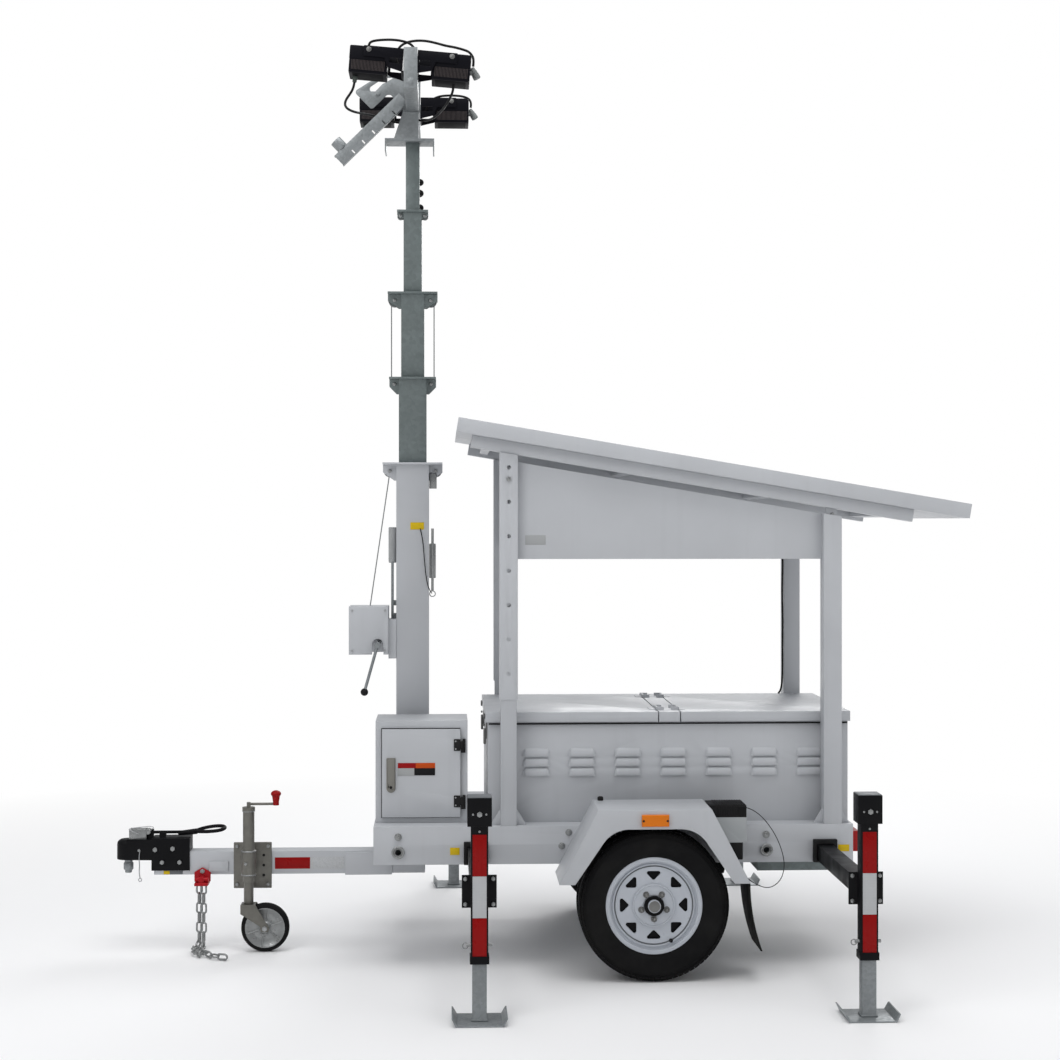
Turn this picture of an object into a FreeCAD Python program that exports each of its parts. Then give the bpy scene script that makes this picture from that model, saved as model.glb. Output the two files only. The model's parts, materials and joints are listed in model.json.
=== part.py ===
import FreeCAD, Part
import math
import os

# Mobile light tower: a single axle trailer with a battery box, a tilted solar roof and a five
# stage mast with four lamps. Millimetres. The ground is z = 0, the drawbar points along -X and
# the near side, with the control cabinet, is -Y. X is measured from the middle of the length.

# Wheels and axle
axle_x = 485.0
wheel_radius = 325.0
tyre_width = 205.0
tyre_shoulder = 22.0
tyre_outer_y = 828.0
tyre_tread_width = 160.0
rim_radius = 193.0
rim_flange_radius = 207.0
rim_width = 150.0
rim_wall = 4.0
rim_disc_thick = 8.0
rim_disc_inset = 42.0
rim_window_count = 8
rim_window_base = 145.0
rim_window_half_width = 40.0
rim_window_tip = 104.0
rim_window_round = 8.0
rim_centre_radius = 92.0
rim_centre_rise = 9.0
hub_radius = 55.0
hub_gap = 5.0
hub_ring_radius = 44.5
hub_ring_reach = 9.0
hub_cap_radius = 27.0
hub_cap_reach = 28.0
stud_count = 5
stud_pitch_radius = 57.15
stud_radius = 9.5
stud_reach = 20.0
spindle_radius = 20.0
pin_gap = 0.3
axle_tube = 60.0
axle_wall = 5.0
axle_half_length = 580.0
spring_y = 480.0
spring_width = 60.0
spring_leaf = 10.0
spring_half_length = 330.0
spring_rise = 45.0
hanger_width = 50.0

# Chassis frame
frame_front_x = -718.0
frame_rear_x = 1397.0
frame_half_width = 540.0
frame_bottom_z = 460.0
frame_top_z = 626.0
frame_sheet = 4.0
frame_flange = 90.0
pan_gap = 2.0
rear_tray_front_x = 983.0
rear_tray_rear_x = 1361.0
tray_lap = 20.0
rear_tray_depth = 50.0
eye_places_x = (-610.0, 1010.0)
eye_z = 516.0
eye_bore_radius = 16.0
eye_radius = 30.0
eye_thick = 12.0

# Outriggers: sliding beams with a jack leg at the outer end
beam_width = 70.0
beam_wall = 5.0
beam_z = 503.0
sleeve_width = 85.0
sleeve_wall = 3.0
beam_pitch = 88.0
near_front_beam_x = -270.0
near_rear_beam_x = 1270.0
beam_overlap = 210.0
collar_width = 107.0
collar_height = 115.0
collar_thick = 22.0
slide_gap = 0.5
leg_y = 1400.0
leg_width = 68.0
leg_wall = 4.0
leg_bottom_z = 231.0
leg_top_z = 771.0
leg_head_width = 96.0
leg_head_height = 112.0
leg_head_cap = 6.0
leg_guide_width = 76.0
leg_guide_height = 30.0
leg_plate_width = 138.0
leg_plate_height = 129.0
leg_plate_thick = 8.0
foot_tube_width = 57.0
foot_tube_wall = 4.0
foot_tube_top_z = 700.0
foot_length = 220.0
foot_width = 200.0
foot_thick = 6.0
foot_lip_height = 34.0
foot_lip_lean = 16.0

# Drawbar, coupler and jockey wheel
drawbar_width = 100.0
drawbar_height = 105.0
drawbar_wall = 5.0
drawbar_top_z = 440.0
drawbar_front_x = -1744.0
drawbar_rear_x = -498.0
socket_front_x = -867.0
socket_plate = 8.0
coupler_nose_x = -1920.0
coupler_rear_x = -1580.0
coupler_top_z = 503.0
coupler_wall = 6.0
coupler_skirt_front_x = -1755.0
coupler_skirt_bottom_z = 355.0
coupler_nose_bottom_z = 403.0
coupler_nose_radius = 48.0
ball_socket_radius = 25.4
ball_socket_depth = 40.0
ball_socket_x = -1862.0
coupler_lever_rear_x = -1415.0
coupler_lever_z = 524.0
socket_rear_x = -650.0
socket_bottom_z = 329.0
socket_top_z = 432.0
drawbar_pad_length = 80.0
drawbar_pad_reach = 30.0
drawbar_front_pad_x = -708.0
drawbar_rear_pad_x = -588.0
coupler_nose_drop = 8.0
coupler_front_bolt_x = -1705.0
coupler_rear_bolt_x = -1625.0
coupler_bolt_z = 395.0
coupler_bolt_radius = 10.0
coupler_bolt_reach = 10.0
latch_front_x = -1830.0
latch_rear_x = -1752.0
latch_top_z = 538.0
latch_half_width = 12.0
lever_thick = 12.0
lever_half_width = 9.0
lever_loop_length = 96.0
lever_loop_half = 26.0
lever_loop_rim = 13.0
lever_foot_front_x = -1725.0
lever_foot_rear_x = -1695.0
jockey_x = -1301.0
jockey_y = -140.0
jockey_tube_radius = 26.0
jockey_tube_wall = 3.0
jockey_tube_bottom_z = 316.0
jockey_tube_top_z = 640.0
jockey_inner_radius = 22.0
jockey_inner_bottom_z = 217.0
jockey_clamp_length = 154.0
jockey_clamp_bottom_z = 316.0
jockey_clamp_top_z = 482.0
jockey_clamp_plate = 8.0
jockey_clamp_shift = 20.0
jockey_ring_thick = 7.0
jockey_ring_bottom_z = 345.0
jockey_ring_top_z = 462.0
jockey_arm_half_width = 24.0
jockey_cap_height = 18.0
jockey_cap_reach = 3.0
jockey_crank_rise = 32.0
jockey_crank_length = 124.0
jockey_crank_radius = 6.0
jockey_knob_radius = 14.0
jockey_knob_top = 88.0
jockey_wheel_radius = 110.0
jockey_wheel_width = 58.0
jockey_trail = 76.0
jockey_fork_plate = 6.0
jockey_side_gap = 5.0
chain_link_length = 54.0
chain_link_width = 28.0
chain_wire = 8.0
chain_lug_drop = 34.0
chain_lug_thick = 7.0
chain_floor_gap = 4.0
# each chain hangs at its first X and Y, and lies along the ground through the others
chain_routes = (
    ((-1531.0, -90.0), (-1552.0, -178.0), (-1504.0, -282.0)),
    ((-1510.0, -106.0), (-1510.0, -182.0), (-1479.0, -265.0), (-1424.0, -320.0), (-1378.0, -336.0)),
)

# Fenders, mudflaps and wheel chocks
fender_outer_y = 850.0
fender_sheet = 3.0
fender_top_z = 740.0
fender_bottom_z = 425.0
fender_top_half = 242.0
fender_bottom_half = 407.0
fender_arch_top_z = 658.0
fender_arch_top_half = 180.0
fender_arch_bottom_half = 340.0
fender_arch_round = 132.0
fender_back_bottom_z = 560.0
marker_length = 116.0
marker_height = 50.0
marker_reach = 18.0
marker_z = 696.0
mudflap_thick = 8.0
mudflap_width = 240.0
mudflap_bottom_z = 135.0
mudflap_lean = 52.0
mudflap_margin = 8.0
chock_width = 150.0
chock_top_z = 735.0
chock_step_z = 573.0
chock_bottom_z = 498.0
chock_rear_x = 900.0
chock_foot_rear_x = 884.0
chock_face_gap = 6.0

# Battery box and lids
box_front_x = -215.0
box_rear_x = 1396.0
box_half_width = 430.0
box_top_z = 1070.0
box_sheet = 3.0
lid_height = 45.0
lid_overhang = 10.0
strip_front_x = 548.0
strip_rear_x = 641.0
lid_gap = 5.0
lid_hinge_radius = 7.0
lid_hinge_length = 90.0
lid_hinge_y = 300.0
louvre_groups = 7
louvre_front_margin = 156.0
louvre_rear_margin = 113.0
louvre_length = 118.0
louvre_rows = 3
louvre_row_pitch = 43.0
louvre_height = 29.0
louvre_reach = 12.0
louvre_low_z = 846.0
bank_height = 260.0
bank_half_width = 330.0
bank_end_gap = 120.0

# Control cabinet
cabinet_front_x = -713.0
cabinet_width = 408.0
cabinet_near_y = -420.0
cabinet_depth = 290.0
cabinet_height = 452.0
cabinet_sheet = 3.0
door_width = 348.0
door_height = 390.0
door_left_margin = 29.0
door_bottom_margin = 26.0
door_thick = 18.0
door_sheet = 3.0
door_hinge_radius = 7.0

# Posts and panels
front_post_x = -126.0
rear_post_x = 1307.0
post_y = 500.0
post_width = 80.0
post_wall = 4.0
lower_post_width = 70.0
lower_post_top_z = 1560.0
upper_post_bottom_z = 1180.0
post_hole_radius = 9.0
post_hole_pitch = 151.0
post_hole_top_z = 2200.0
post_hole_count = 7
post_foot_length = 160.0
post_foot_height = 64.0
post_foot_thick = 8.0
rear_bracket_height = 29.0
rear_bracket_width = 46.0
panel_bottom_z = 1797.0
panel_gap = 30.0
panel_sheet = 3.0
front_panel_bottom_z = 1835.0
front_panel_top_z = 2214.0

# Roof
roof_x = 786.0
roof_z = 2229.0
roof_tilt = 9.5
roof_length = 2295.0
roof_half_width = 585.0
roof_depth = 64.0
roof_sheet = 3.0
roof_beam_depth = 55.0
roof_beam_width = 60.0
roof_beam_wall = 4.0
roof_beam_front = -1076.0
roof_beam_rear = 911.0
roof_cross_places = (-1000.0, -340.0, 320.0, 860.0)
roof_cross_depth = 40.0
solar_length = 2279.0
solar_width = 1134.0
solar_thick = 35.0

# Mast: square tubes that slide one inside the next
mast_x = -555.0
mast_wall = 4.0
mast_length = 1700.0
mast_outer_width = 150.0
mast_outer_top_z = 2235.0
mast_outer_flange_reach = 138.0
mast_outer_ear_drop = 82.0
section_2_width = 127.0
section_2_top_z = 2630.0
section_2_flange_reach = 108.0
section_2_ear_drop = 74.0
section_3_width = 106.0
section_3_top_z = 3025.0
section_3_flange_reach = 115.0
section_3_ear_drop = 70.0
section_4_width = 84.0
section_4_top_z = 3405.0
section_4_flange_reach = 72.0
section_4_ear_drop = 34.0
top_section_width = 64.0
top_section_z = 3722.0
# name, width, top z at rest, reach of its flange along X, drop of its pulley ears
mast_rows = (
    ("mast_outer", mast_outer_width, mast_outer_top_z, mast_outer_flange_reach, mast_outer_ear_drop),
    ("mast_section_2", section_2_width, section_2_top_z, section_2_flange_reach, section_2_ear_drop),
    ("mast_section_3", section_3_width, section_3_top_z, section_3_flange_reach, section_3_ear_drop),
    ("mast_section_4", section_4_width, section_4_top_z, section_4_flange_reach, section_4_ear_drop),
)
flange_thick = 10.0
flange_margin = 24.0
ear_thick = 8.0
ear_spread = 26.0
pulley_radius = 27.0
mast_gusset = 90.0

# Mast head and lamp bar
head_plate_thick = 12.0
head_reach = 128.0
head_rear_reach = 100.0
head_half_width = 70.0
head_ear_drop = 46.0
head_block_width = 82.0
head_block_front = 46.0
head_block_rear = 27.0
head_block_height = 128.0
head_flare = 42.0
head_tail_width = 60.0
head_sheet = 6.0
head_block_top_z = top_section_z + head_plate_thick + head_block_height
bar_width = 60.0
bar_wall = 4.0
bar_half_length = 572.0
upright_width = 60.0
upright_thick = 6.0
upright_drop = 10.0
upright_rise = 168.0
upright_gap = 1.0
# the head's face plate and its slot: X from the mast's axis, Z from the block's top, round
head_face_outline = (
    (37.0, 166.0, 10.0), (34.0, -6.0, 4.0), (-46.0, -6.0, 4.0), (-46.0, 14.0, 8.0), (-101.0, 77.0, 10.0),
    (-118.0, 77.0, 10.0), (-189.0, 8.0, 14.0), (-271.0, 90.0, 14.0), (-152.0, 166.0, 40.0),
)
head_face_slot = (
    (-199.0, 92.0, 8.0), (-196.0, 112.0, 8.0), (-136.0, 154.0, 6.0), (-83.0, 157.0, 3.0),
    (-140.0, 126.0, 8.0),
    (-172.0, 92.0, 8.0),
)

# Lamps on their brackets
lamp_offset_x = 182.0
lamp_pivot_z = head_block_top_z + 146.0
lamp_length_x = 168.0
lamp_height = 118.0
lamp_drop = 102.0
lamp_inner_y = 395.0
lamp_outer_y = 552.0
lamp_frame_height = 14.0
lamp_fin_count = 9
lamp_fin_thick = 4.0
lamp_fin_height = 56.0
lamp_fin_depth = 22.0
lamp_fin_edge = 4.0
lamp_side_gap = 5.0
lamp_washer = 4.5
lamp_washer_radius = 11.0
lamp_bolt_radius = 5.0
lamp_bolt_reach = 6.0
lamp_arm_thick = 5.0
lamp_arm_tip = 22.0
lamp_arm_root = 66.0
lamp_arm_rise = 16.0
lamp_arm_drop = 30.0
lamp_window_margin = 7.0
lamp_window_low = 51.0
lamp_window_height = 24.0
near_lamp_turn = 4.5
gland_radius = 10.0
low_gland_offset = 27.0
low_gland_reach = 28.0
top_gland_offset = 77.0
top_gland_reach = 14.0
# the plug at a rear lamp's end: X from the lamp's end, Z from the bolt
plug_top = (5.0, -22.0)
plug_end = (33.0, -68.0)
plug_radius = 13.0
plug_cap_radius = 16.0

# Arm with the light sensor: its ends are given as on the head's face plate
arm_width = 59.0
arm_depth = 40.0
arm_sheet = 3.0
arm_top = (-63.5, 33.5)
arm_end = (-339.0, -237.0)
arm_back_share = 0.3
arm_slot_count = 5
arm_slot_first = 0.12
arm_slot_pitch = 0.168
arm_slot_width = 6.0
arm_slot_length = 22.0
sensor_radius = 27.0
sensor_length = 48.0
sensor_margin = 54.0

# Lamp leads, point by point from the lamp's gland to where each goes in
lead_radius = 5.5
lead_routes = {
    "lead_front_low": (
        (-804, -473.5, 3896), (-808, -472, 3872), (-822, -462, 3850), (-842, -436, 3830), (-851, -392, 3817),
        (-845, -336, 3812), (-829, -276, 3814), (-809, -214, 3820), (-787, -152, 3829), (-762, -92, 3838),
        (-732, -36, 3842), (-694, 4, 3838), (-654, 16, 3828), (-614, 16, 3822),
    ),
    "lead_front_top": (
        (-741, -473.5, 4053.5), (-740, -473, 4067), (-728, -471, 4079), (-702, -467, 4085), (-668, -462, 4089),
        (-630, -458, 4090), (-592, -455, 4086), (-556, -454, 4074), (-536, -455, 4048), (-537, -456, 4010),
        (-545, -456, 3970), (-549, -456, 3926),
    ),
    "lead_rear_top": (
        (-281, -473.5, 3972), (-278, -473, 3998), (-284, -471, 4020), (-301, -466, 4040), (-330, -456, 4052),
        (-364, -446, 4063), (-402, -434, 4072), (-444, -424, 4086), (-490, -415, 4098), (-538, -413, 4099),
        (-582, -420, 4087), (-612, -434, 4060), (-621, -446, 4022), (-616, -452, 3986), (-596, -454, 3966),
    ),
    "lead_rear_low": (
        (-368, -473, 3889.8), (-369, -470, 3868), (-378, -452, 3846), (-394, -404, 3826), (-410, -344, 3816),
        (-426, -280, 3811), (-442, -214, 3810), (-458, -148, 3812), (-473, -86, 3818), (-490, -36, 3824),
        (-508, -6, 3830), (-528, 0, 3832),
    ),
    "lead_rear_far": (
        (-279, 473.5, 3995.5), (-276, 473, 4018), (-288, 470, 4039), (-317, 463, 4048), (-352, 455, 4050),
        (-390, 450, 4049), (-430, 452, 4046), (-466, 456, 4032), (-490, 458, 4004), (-498, 458, 3970),
        (-516, 458, 3950),
    ),
}

# Winch on the front of the mast
winch_front_x = -847.0
winch_rear_x = -666.0
winch_near_y = -110.0
winch_far_y = 70.0
winch_bottom_z = 1350.0
winch_top_z = 1571.0
winch_sheet = 3.0
winch_arch_radius = 26.0
winch_shaft_x = -714.0
winch_shaft_z = 1396.0
winch_shaft_radius = 9.0
crank_reach_y = 30.0
crank_end_x = -774.0
crank_end_z = 1181.0
crank_radius = 7.0
crank_ball_radius = 16.0
stored_crank_x = -650.0
stored_crank_y = 20.0
stored_crank_bottom_z = 1511.0
stored_crank_top_z = 1935.0
stored_grip_radius = 17.0
stored_grip_length = 165.0
stored_clip_rise = 60.0
stored_clip_height = 24.0

# Lights at the back
tail_length = 200.0
tail_height = 90.0
tail_reach = 40.0
tail_y = 400.0

tyre_mid_y = tyre_outer_y - tyre_width / 2
drawbar_bottom_z = drawbar_top_z - drawbar_height
lid_top_z = box_top_z + lid_height
tilt = math.radians(roof_tilt)
arc_share = 0.45
under_roof = roof_depth + roof_beam_depth


def vec(x, y, z):
    return FreeCAD.Vector(x, y, z)


def block(x0, x1, y0, y1, z0, z1):
    return Part.makeBox(x1 - x0, y1 - y0, z1 - z0, vec(x0, y0, z0))


def rod(radius, start, end):
    run = vec(*end) - vec(*start)
    return Part.makeCylinder(radius, run.Length, vec(*start), run)


def fused(pieces):
    if len(pieces) == 1:
        return pieces[0]
    return pieces[0].multiFuse(pieces[1:]).removeSplitter()


def cut(body, tools):
    return body.cut(Part.makeCompound(tools))


def plate_xz(outline, y0, y1):
    """A plate whose outline is drawn in X and Z, from y0 to y1."""
    points = [vec(x, y0, z) for x, z in outline]
    face = Part.Face(Part.makePolygon(points + points[:1]))
    return face.extrude(vec(0, y1 - y0, 0))


def plate_yz(outline, x0, x1):
    """A plate whose outline is drawn in Y and Z, from x0 to x1."""
    points = [vec(x0, y, z) for y, z in outline]
    face = Part.Face(Part.makePolygon(points + points[:1]))
    return face.extrude(vec(x1 - x0, 0, 0))


def rounded_plate_xz(corners, y0, y1):
    """A plate drawn in X and Z, each corner given by x, z and the radius of its round."""
    places = [vec(x, y0, z) for x, z, radius in corners]
    starts = []
    middles = []
    ends = []
    for number, (x, z, radius) in enumerate(corners):
        corner = places[number]
        before = places[number - 1] - corner
        after = places[(number + 1) % len(corners)] - corner
        half_turn = before.getAngle(after) / 2
        before.normalize()
        after.normalize()
        trim = radius / math.tan(half_turn)
        bisector = before + after
        bisector.normalize()
        starts.append(corner + before * trim)
        middles.append(corner + bisector * (radius / math.sin(half_turn) - radius))
        ends.append(corner + after * trim)
    edges = []
    for number, (x, z, radius) in enumerate(corners):
        if radius > 0:
            edges.append(Part.Arc(starts[number], middles[number], ends[number]).toShape())
        following = starts[(number + 1) % len(corners)]
        edges.append(Part.LineSegment(ends[number], following).toShape())
    return Part.Face(Part.Wire(edges)).extrude(vec(0, y1 - y0, 0))


def upright_tube(x, y, width, wall, z0, z1):
    half = width / 2
    inner = half - wall
    outside = block(x - half, x + half, y - half, y + half, z0, z1)
    inside = block(x - inner, x + inner, y - inner, y + inner, z0 - 1, z1 + 1)
    return outside.cut(inside)


def upright_post(x, y, width, low_z, high_z):
    half = width / 2
    return block(x - half, x + half, y - half, y + half, low_z, high_z)


def across_tube(x, z, width, wall, y0, y1):
    half = width / 2
    inner = half - wall
    outside = block(x - half, x + half, y0, y1, z - half, z + half)
    inside = block(x - inner, x + inner, y0 - 1, y1 + 1, z - inner, z + inner)
    return outside.cut(inside)


def mirrored(shape):
    """The same piece on the other side of the trailer."""
    return shape.mirror(vec(0, 0, 0), vec(0, 1, 0))


def both_sides(shape):
    return [shape, mirrored(shape)]


def roof_under_z(x, depth):
    """Height of a face that lies depth below the roof's top, above or below the place x."""
    return roof_z - (x - roof_x) * math.tan(tilt) - depth / math.cos(tilt)


def onto_roof(shape):
    """Turn a shape drawn flat, with the roof's top at z = 0, to the roof's slope and place."""
    placed = shape.copy()
    placed.rotate(vec(0, 0, 0), vec(0, 1, 0), roof_tilt)
    placed.translate(vec(roof_x, 0, roof_z))
    return placed


def cord_tube(route, radius):
    """A cord along its route: straight runs joined by arcs as large as the runs allow."""
    points = [vec(*place) for place in route]
    edges = []
    radii = []
    last = points[0]
    for before, corner, after in zip(points, points[1:], points[2:]):
        inward = before - corner
        outward = after - corner
        reach = arc_share * min(inward.Length, outward.Length)
        half_turn = inward.getAngle(outward) / 2
        inward.normalize()
        outward.normalize()
        bend = reach * math.tan(half_turn)
        bisector = inward + outward
        bisector.normalize()
        start = corner + inward * reach
        end = corner + outward * reach
        middle = corner + bisector * (bend / math.sin(half_turn) - bend)
        edges.append(Part.LineSegment(last, start).toShape())
        edges.append(Part.Arc(start, middle, end).toShape())
        radii.append(round(bend))
        last = end
    edges.append(Part.LineSegment(last, points[-1]).toShape())
    path = Part.Wire(edges)
    first = points[1] - points[0]
    section = Part.Wire(Part.Circle(points[0], first, radius).toShape())
    tube = path.makePipeShell([section], True, True)
    share = tube.Volume / (math.pi * radius * radius * path.Length)
    print("cord", round(path.Length), "mm, radii", radii, "volume share", round(share, 4))
    return tube


def write(name, solids):
    shape = solids[0] if len(solids) == 1 else Part.makeCompound(solids)
    shape.exportStep("parts/" + name + ".step")
    print(name, len(shape.Solids), "solids", round(shape.Volume / 1e6, 3), "litres")


def beam_places():
    """Name, X and side of each outrigger: the far one of a pair lies beside the near one."""
    return (
        ("front_near", near_front_beam_x, -1),
        ("front_far", near_front_beam_x - beam_pitch, 1),
        ("rear_near", near_rear_beam_x, -1),
        ("rear_far", near_rear_beam_x - beam_pitch, 1),
    )


def sleeve_reach(direction):
    """From the sleeve's mouth in one wall to the inside of the other wall."""
    return sorted((direction * frame_half_width, -direction * (frame_half_width - frame_sheet)))


def rear_tray():
    """A folded tray, open at its top, that hangs under the frame's flanges."""
    side = frame_half_width - frame_flange + tray_lap
    low = frame_bottom_z - rear_tray_depth
    sheet = frame_sheet
    outside = block(rear_tray_front_x, rear_tray_rear_x, -side, side, low, frame_bottom_z)
    inside = block(rear_tray_front_x + sheet, rear_tray_rear_x - sheet, -side + sheet, side - sheet,
                   low + sheet, frame_bottom_z + 1)
    return outside.cut(inside)


def make_frame():
    side = frame_half_width
    inner_side = side - frame_sheet
    low = frame_bottom_z + frame_sheet
    pieces = [block(frame_front_x, frame_rear_x, -side, side, frame_top_z - frame_sheet, frame_top_z)]
    for y0, y1 in ((-side, -inner_side), (inner_side, side)):
        pieces.append(block(frame_front_x, frame_rear_x, y0, y1, frame_bottom_z, frame_top_z))
    for x0, x1 in ((frame_front_x, frame_front_x + frame_sheet), (frame_rear_x - frame_sheet, frame_rear_x)):
        pieces.append(block(x0, x1, -side, side, frame_bottom_z, frame_top_z))
    for y0, y1 in ((-side, -side + frame_flange), (side - frame_flange, side)):
        pieces.append(block(frame_front_x, frame_rear_x, y0, y1, frame_bottom_z, low))
    pan_rear_x = near_front_beam_x - beam_pitch - sleeve_width / 2 - pan_gap
    pieces.append(block(frame_front_x, pan_rear_x, -side, side, frame_bottom_z, low))
    pieces.append(rear_tray())
    holes = []
    half = sleeve_width / 2
    for name, x, direction in beam_places():
        y0, y1 = sleeve_reach(direction)
        holes.append(block(x - half, x + half, y0, y1, frame_bottom_z - 1, beam_z + half))
    for x in eye_places_x:
        for y0, y1 in ((-side - eye_thick, -side), (side, side + eye_thick)):
            pieces.append(rod(eye_radius, (x, y0, eye_z), (x, y1, eye_z)))
        holes.append(rod(eye_bore_radius, (x, -side - eye_thick - 1, eye_z), (x, -inner_side + 1, eye_z)))
        holes.append(rod(eye_bore_radius, (x, inner_side - 1, eye_z), (x, side + eye_thick + 1, eye_z)))
    write("chassis_frame", [cut(fused(pieces), holes)])
    sleeves = []
    for name, x, direction in beam_places():
        y0, y1 = sleeve_reach(direction)
        sleeves.append(across_tube(x, beam_z, sleeve_width, sleeve_wall, y0, y1))
    write("cross_sleeves", sleeves)


def make_axle():
    z = wheel_radius
    tube = across_tube(axle_x, z, axle_tube, axle_wall, -axle_half_length, axle_half_length)
    pieces = [tube]
    tip = tyre_outer_y - rim_disc_inset - rim_disc_thick
    for direction in (-1, 1):
        inner_end = (axle_x, direction * (axle_half_length - 60), z)
        pieces.append(rod(spindle_radius, inner_end, (axle_x, direction * tip, z)))
        root = (axle_x, direction * (axle_half_length - 12), z)
        pieces.append(rod(axle_tube / 2 - 1, root, (axle_x, direction * axle_half_length, z)))
    write("axle", [fused(pieces)])


def make_springs():
    seat_z = wheel_radius + axle_tube / 2
    y0 = -spring_y - spring_width / 2
    y1 = -spring_y + spring_width / 2
    pieces = []
    for number, share in enumerate((1.0, 0.7, 0.42)):
        reach = spring_half_length * share
        low = seat_z + (2 - number) * spring_leaf
        rise = spring_rise * share * share
        outline = []
        for side_x, side_rise in ((-reach, rise), (0, 0), (reach, rise)):
            outline.append((axle_x + side_x, low + side_rise))
        for side_x, side_rise in ((reach, rise), (0, 0), (-reach, rise)):
            outline.append((axle_x + side_x, low + side_rise + spring_leaf))
        pieces.append(plate_xz(outline, y0, y1))
    pieces.append(block(axle_x - 35, axle_x + 35, y0, y1, seat_z, seat_z + 3 * spring_leaf + 12))
    eye_height = seat_z + 2 * spring_leaf + spring_rise + spring_leaf / 2
    for end in (-spring_half_length, spring_half_length):
        pieces.append(rod(15, (axle_x + end, y0, eye_height), (axle_x + end, y1, eye_height)))
        hanger = [
            (axle_x + end - hanger_width / 2, frame_bottom_z),
            (axle_x + end + hanger_width / 2, frame_bottom_z),
            (axle_x + end + 12, eye_height - 18),
            (axle_x + end - 12, eye_height - 18),
        ]
        pieces.append(plate_xz(hanger, y0, y0 + 8))
        pieces.append(plate_xz(hanger, y1 - 8, y1))
    write("leaf_springs", both_sides(fused(pieces)))


def rim_window(angle, y0, y1):
    """A three sided window with round corners that points at the hub."""
    outline = [
        (axle_x - rim_window_half_width, wheel_radius + rim_window_base, rim_window_round),
        (axle_x + rim_window_half_width, wheel_radius + rim_window_base, rim_window_round),
        (axle_x, wheel_radius + rim_window_tip, rim_window_round),
    ]
    window = rounded_plate_xz(outline, y0, y1)
    window.rotate(vec(axle_x, 0, wheel_radius), vec(0, 1, 0), angle)
    return window


def make_wheel(name, direction):
    z = wheel_radius
    mid = direction * tyre_mid_y
    half = tyre_width / 2
    tread = tyre_tread_width / 2
    belly = (rim_radius + wheel_radius) / 2
    bead = rim_width / 2
    shoulder = wheel_radius - tyre_shoulder

    def at(y, r):
        return vec(axle_x, mid + y, z + r)

    edges = [
        Part.LineSegment(at(-bead, rim_radius), at(bead, rim_radius)),
        Part.Arc(at(bead, rim_radius), at(half, belly), at(tread + 14, shoulder)),
        Part.Arc(at(tread + 14, shoulder), at(tread + 4, wheel_radius - 6), at(tread - 12, wheel_radius)),
        Part.LineSegment(at(tread - 12, wheel_radius), at(-tread + 12, wheel_radius)),
        Part.Arc(at(-tread + 12, wheel_radius), at(-tread - 4, wheel_radius - 6), at(-tread - 14, shoulder)),
        Part.Arc(at(-tread - 14, shoulder), at(-half, belly), at(-bead, rim_radius)),
    ]
    section = Part.Face(Part.Wire([edge.toShape() for edge in edges]))
    tyre = section.revolve(vec(axle_x, 0, z), vec(0, 1, 0), 360)
    for side in (-1, 1):
        start = (axle_x, mid + side * bead, z)
        tyre = tyre.cut(rod(rim_flange_radius + pin_gap, start, (axle_x, mid + side * tyre_width, z)))
    write("tyre_" + name, [tyre])

    def ring(radius, inner, y0, y1):
        outside = rod(radius, (axle_x, y0, z), (axle_x, y1, z))
        return outside.cut(rod(inner, (axle_x, y0 - 1, z), (axle_x, y1 + 1, z)))

    outer = direction * tyre_outer_y
    disc_face = outer - direction * rim_disc_inset
    disc_back = disc_face - direction * rim_disc_thick
    centre_face = disc_face + direction * rim_centre_rise
    barrel_inner = rim_radius - rim_wall
    low, high = sorted((mid - bead, mid + bead))
    pieces = [ring(rim_radius, barrel_inner, low, high)]
    for y in (low - rim_wall, high):
        pieces.append(ring(rim_flange_radius, barrel_inner, y, y + rim_wall))
    low, high = sorted((disc_face, disc_back))
    disc = rod(barrel_inner + 1, (axle_x, low, z), (axle_x, high, z))
    windows = []
    for number in range(rim_window_count):
        windows.append(rim_window(360.0 * number / rim_window_count, low - 1, high + 1))
    pieces.append(cut(disc, windows))
    pieces.append(rod(rim_centre_radius, (axle_x, disc_back, z), (axle_x, centre_face, z)))
    hub_back = direction * (axle_half_length + hub_gap)
    pieces.append(rod(hub_radius, (axle_x, hub_back, z), (axle_x, disc_back, z)))
    for radius, reach in ((hub_ring_radius, hub_ring_reach), (hub_cap_radius, hub_cap_reach)):
        pieces.append(rod(radius, (axle_x, centre_face, z), (axle_x, centre_face + direction * reach, z)))
    for number in range(stud_count):
        angle = 2 * math.pi * number / stud_count - math.pi / 2
        x = axle_x + stud_pitch_radius * math.cos(angle)
        height = z + stud_pitch_radius * math.sin(angle)
        stud_end = centre_face + direction * stud_reach
        pieces.append(rod(stud_radius, (x, disc_back, height), (x, stud_end, height)))
    wheel = fused(pieces)
    bore_end = disc_back + direction * pin_gap
    bore = rod(spindle_radius + pin_gap, (axle_x, hub_back - direction, z), (axle_x, bore_end, z))
    write("rim_" + name, [wheel.cut(bore)])


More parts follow.
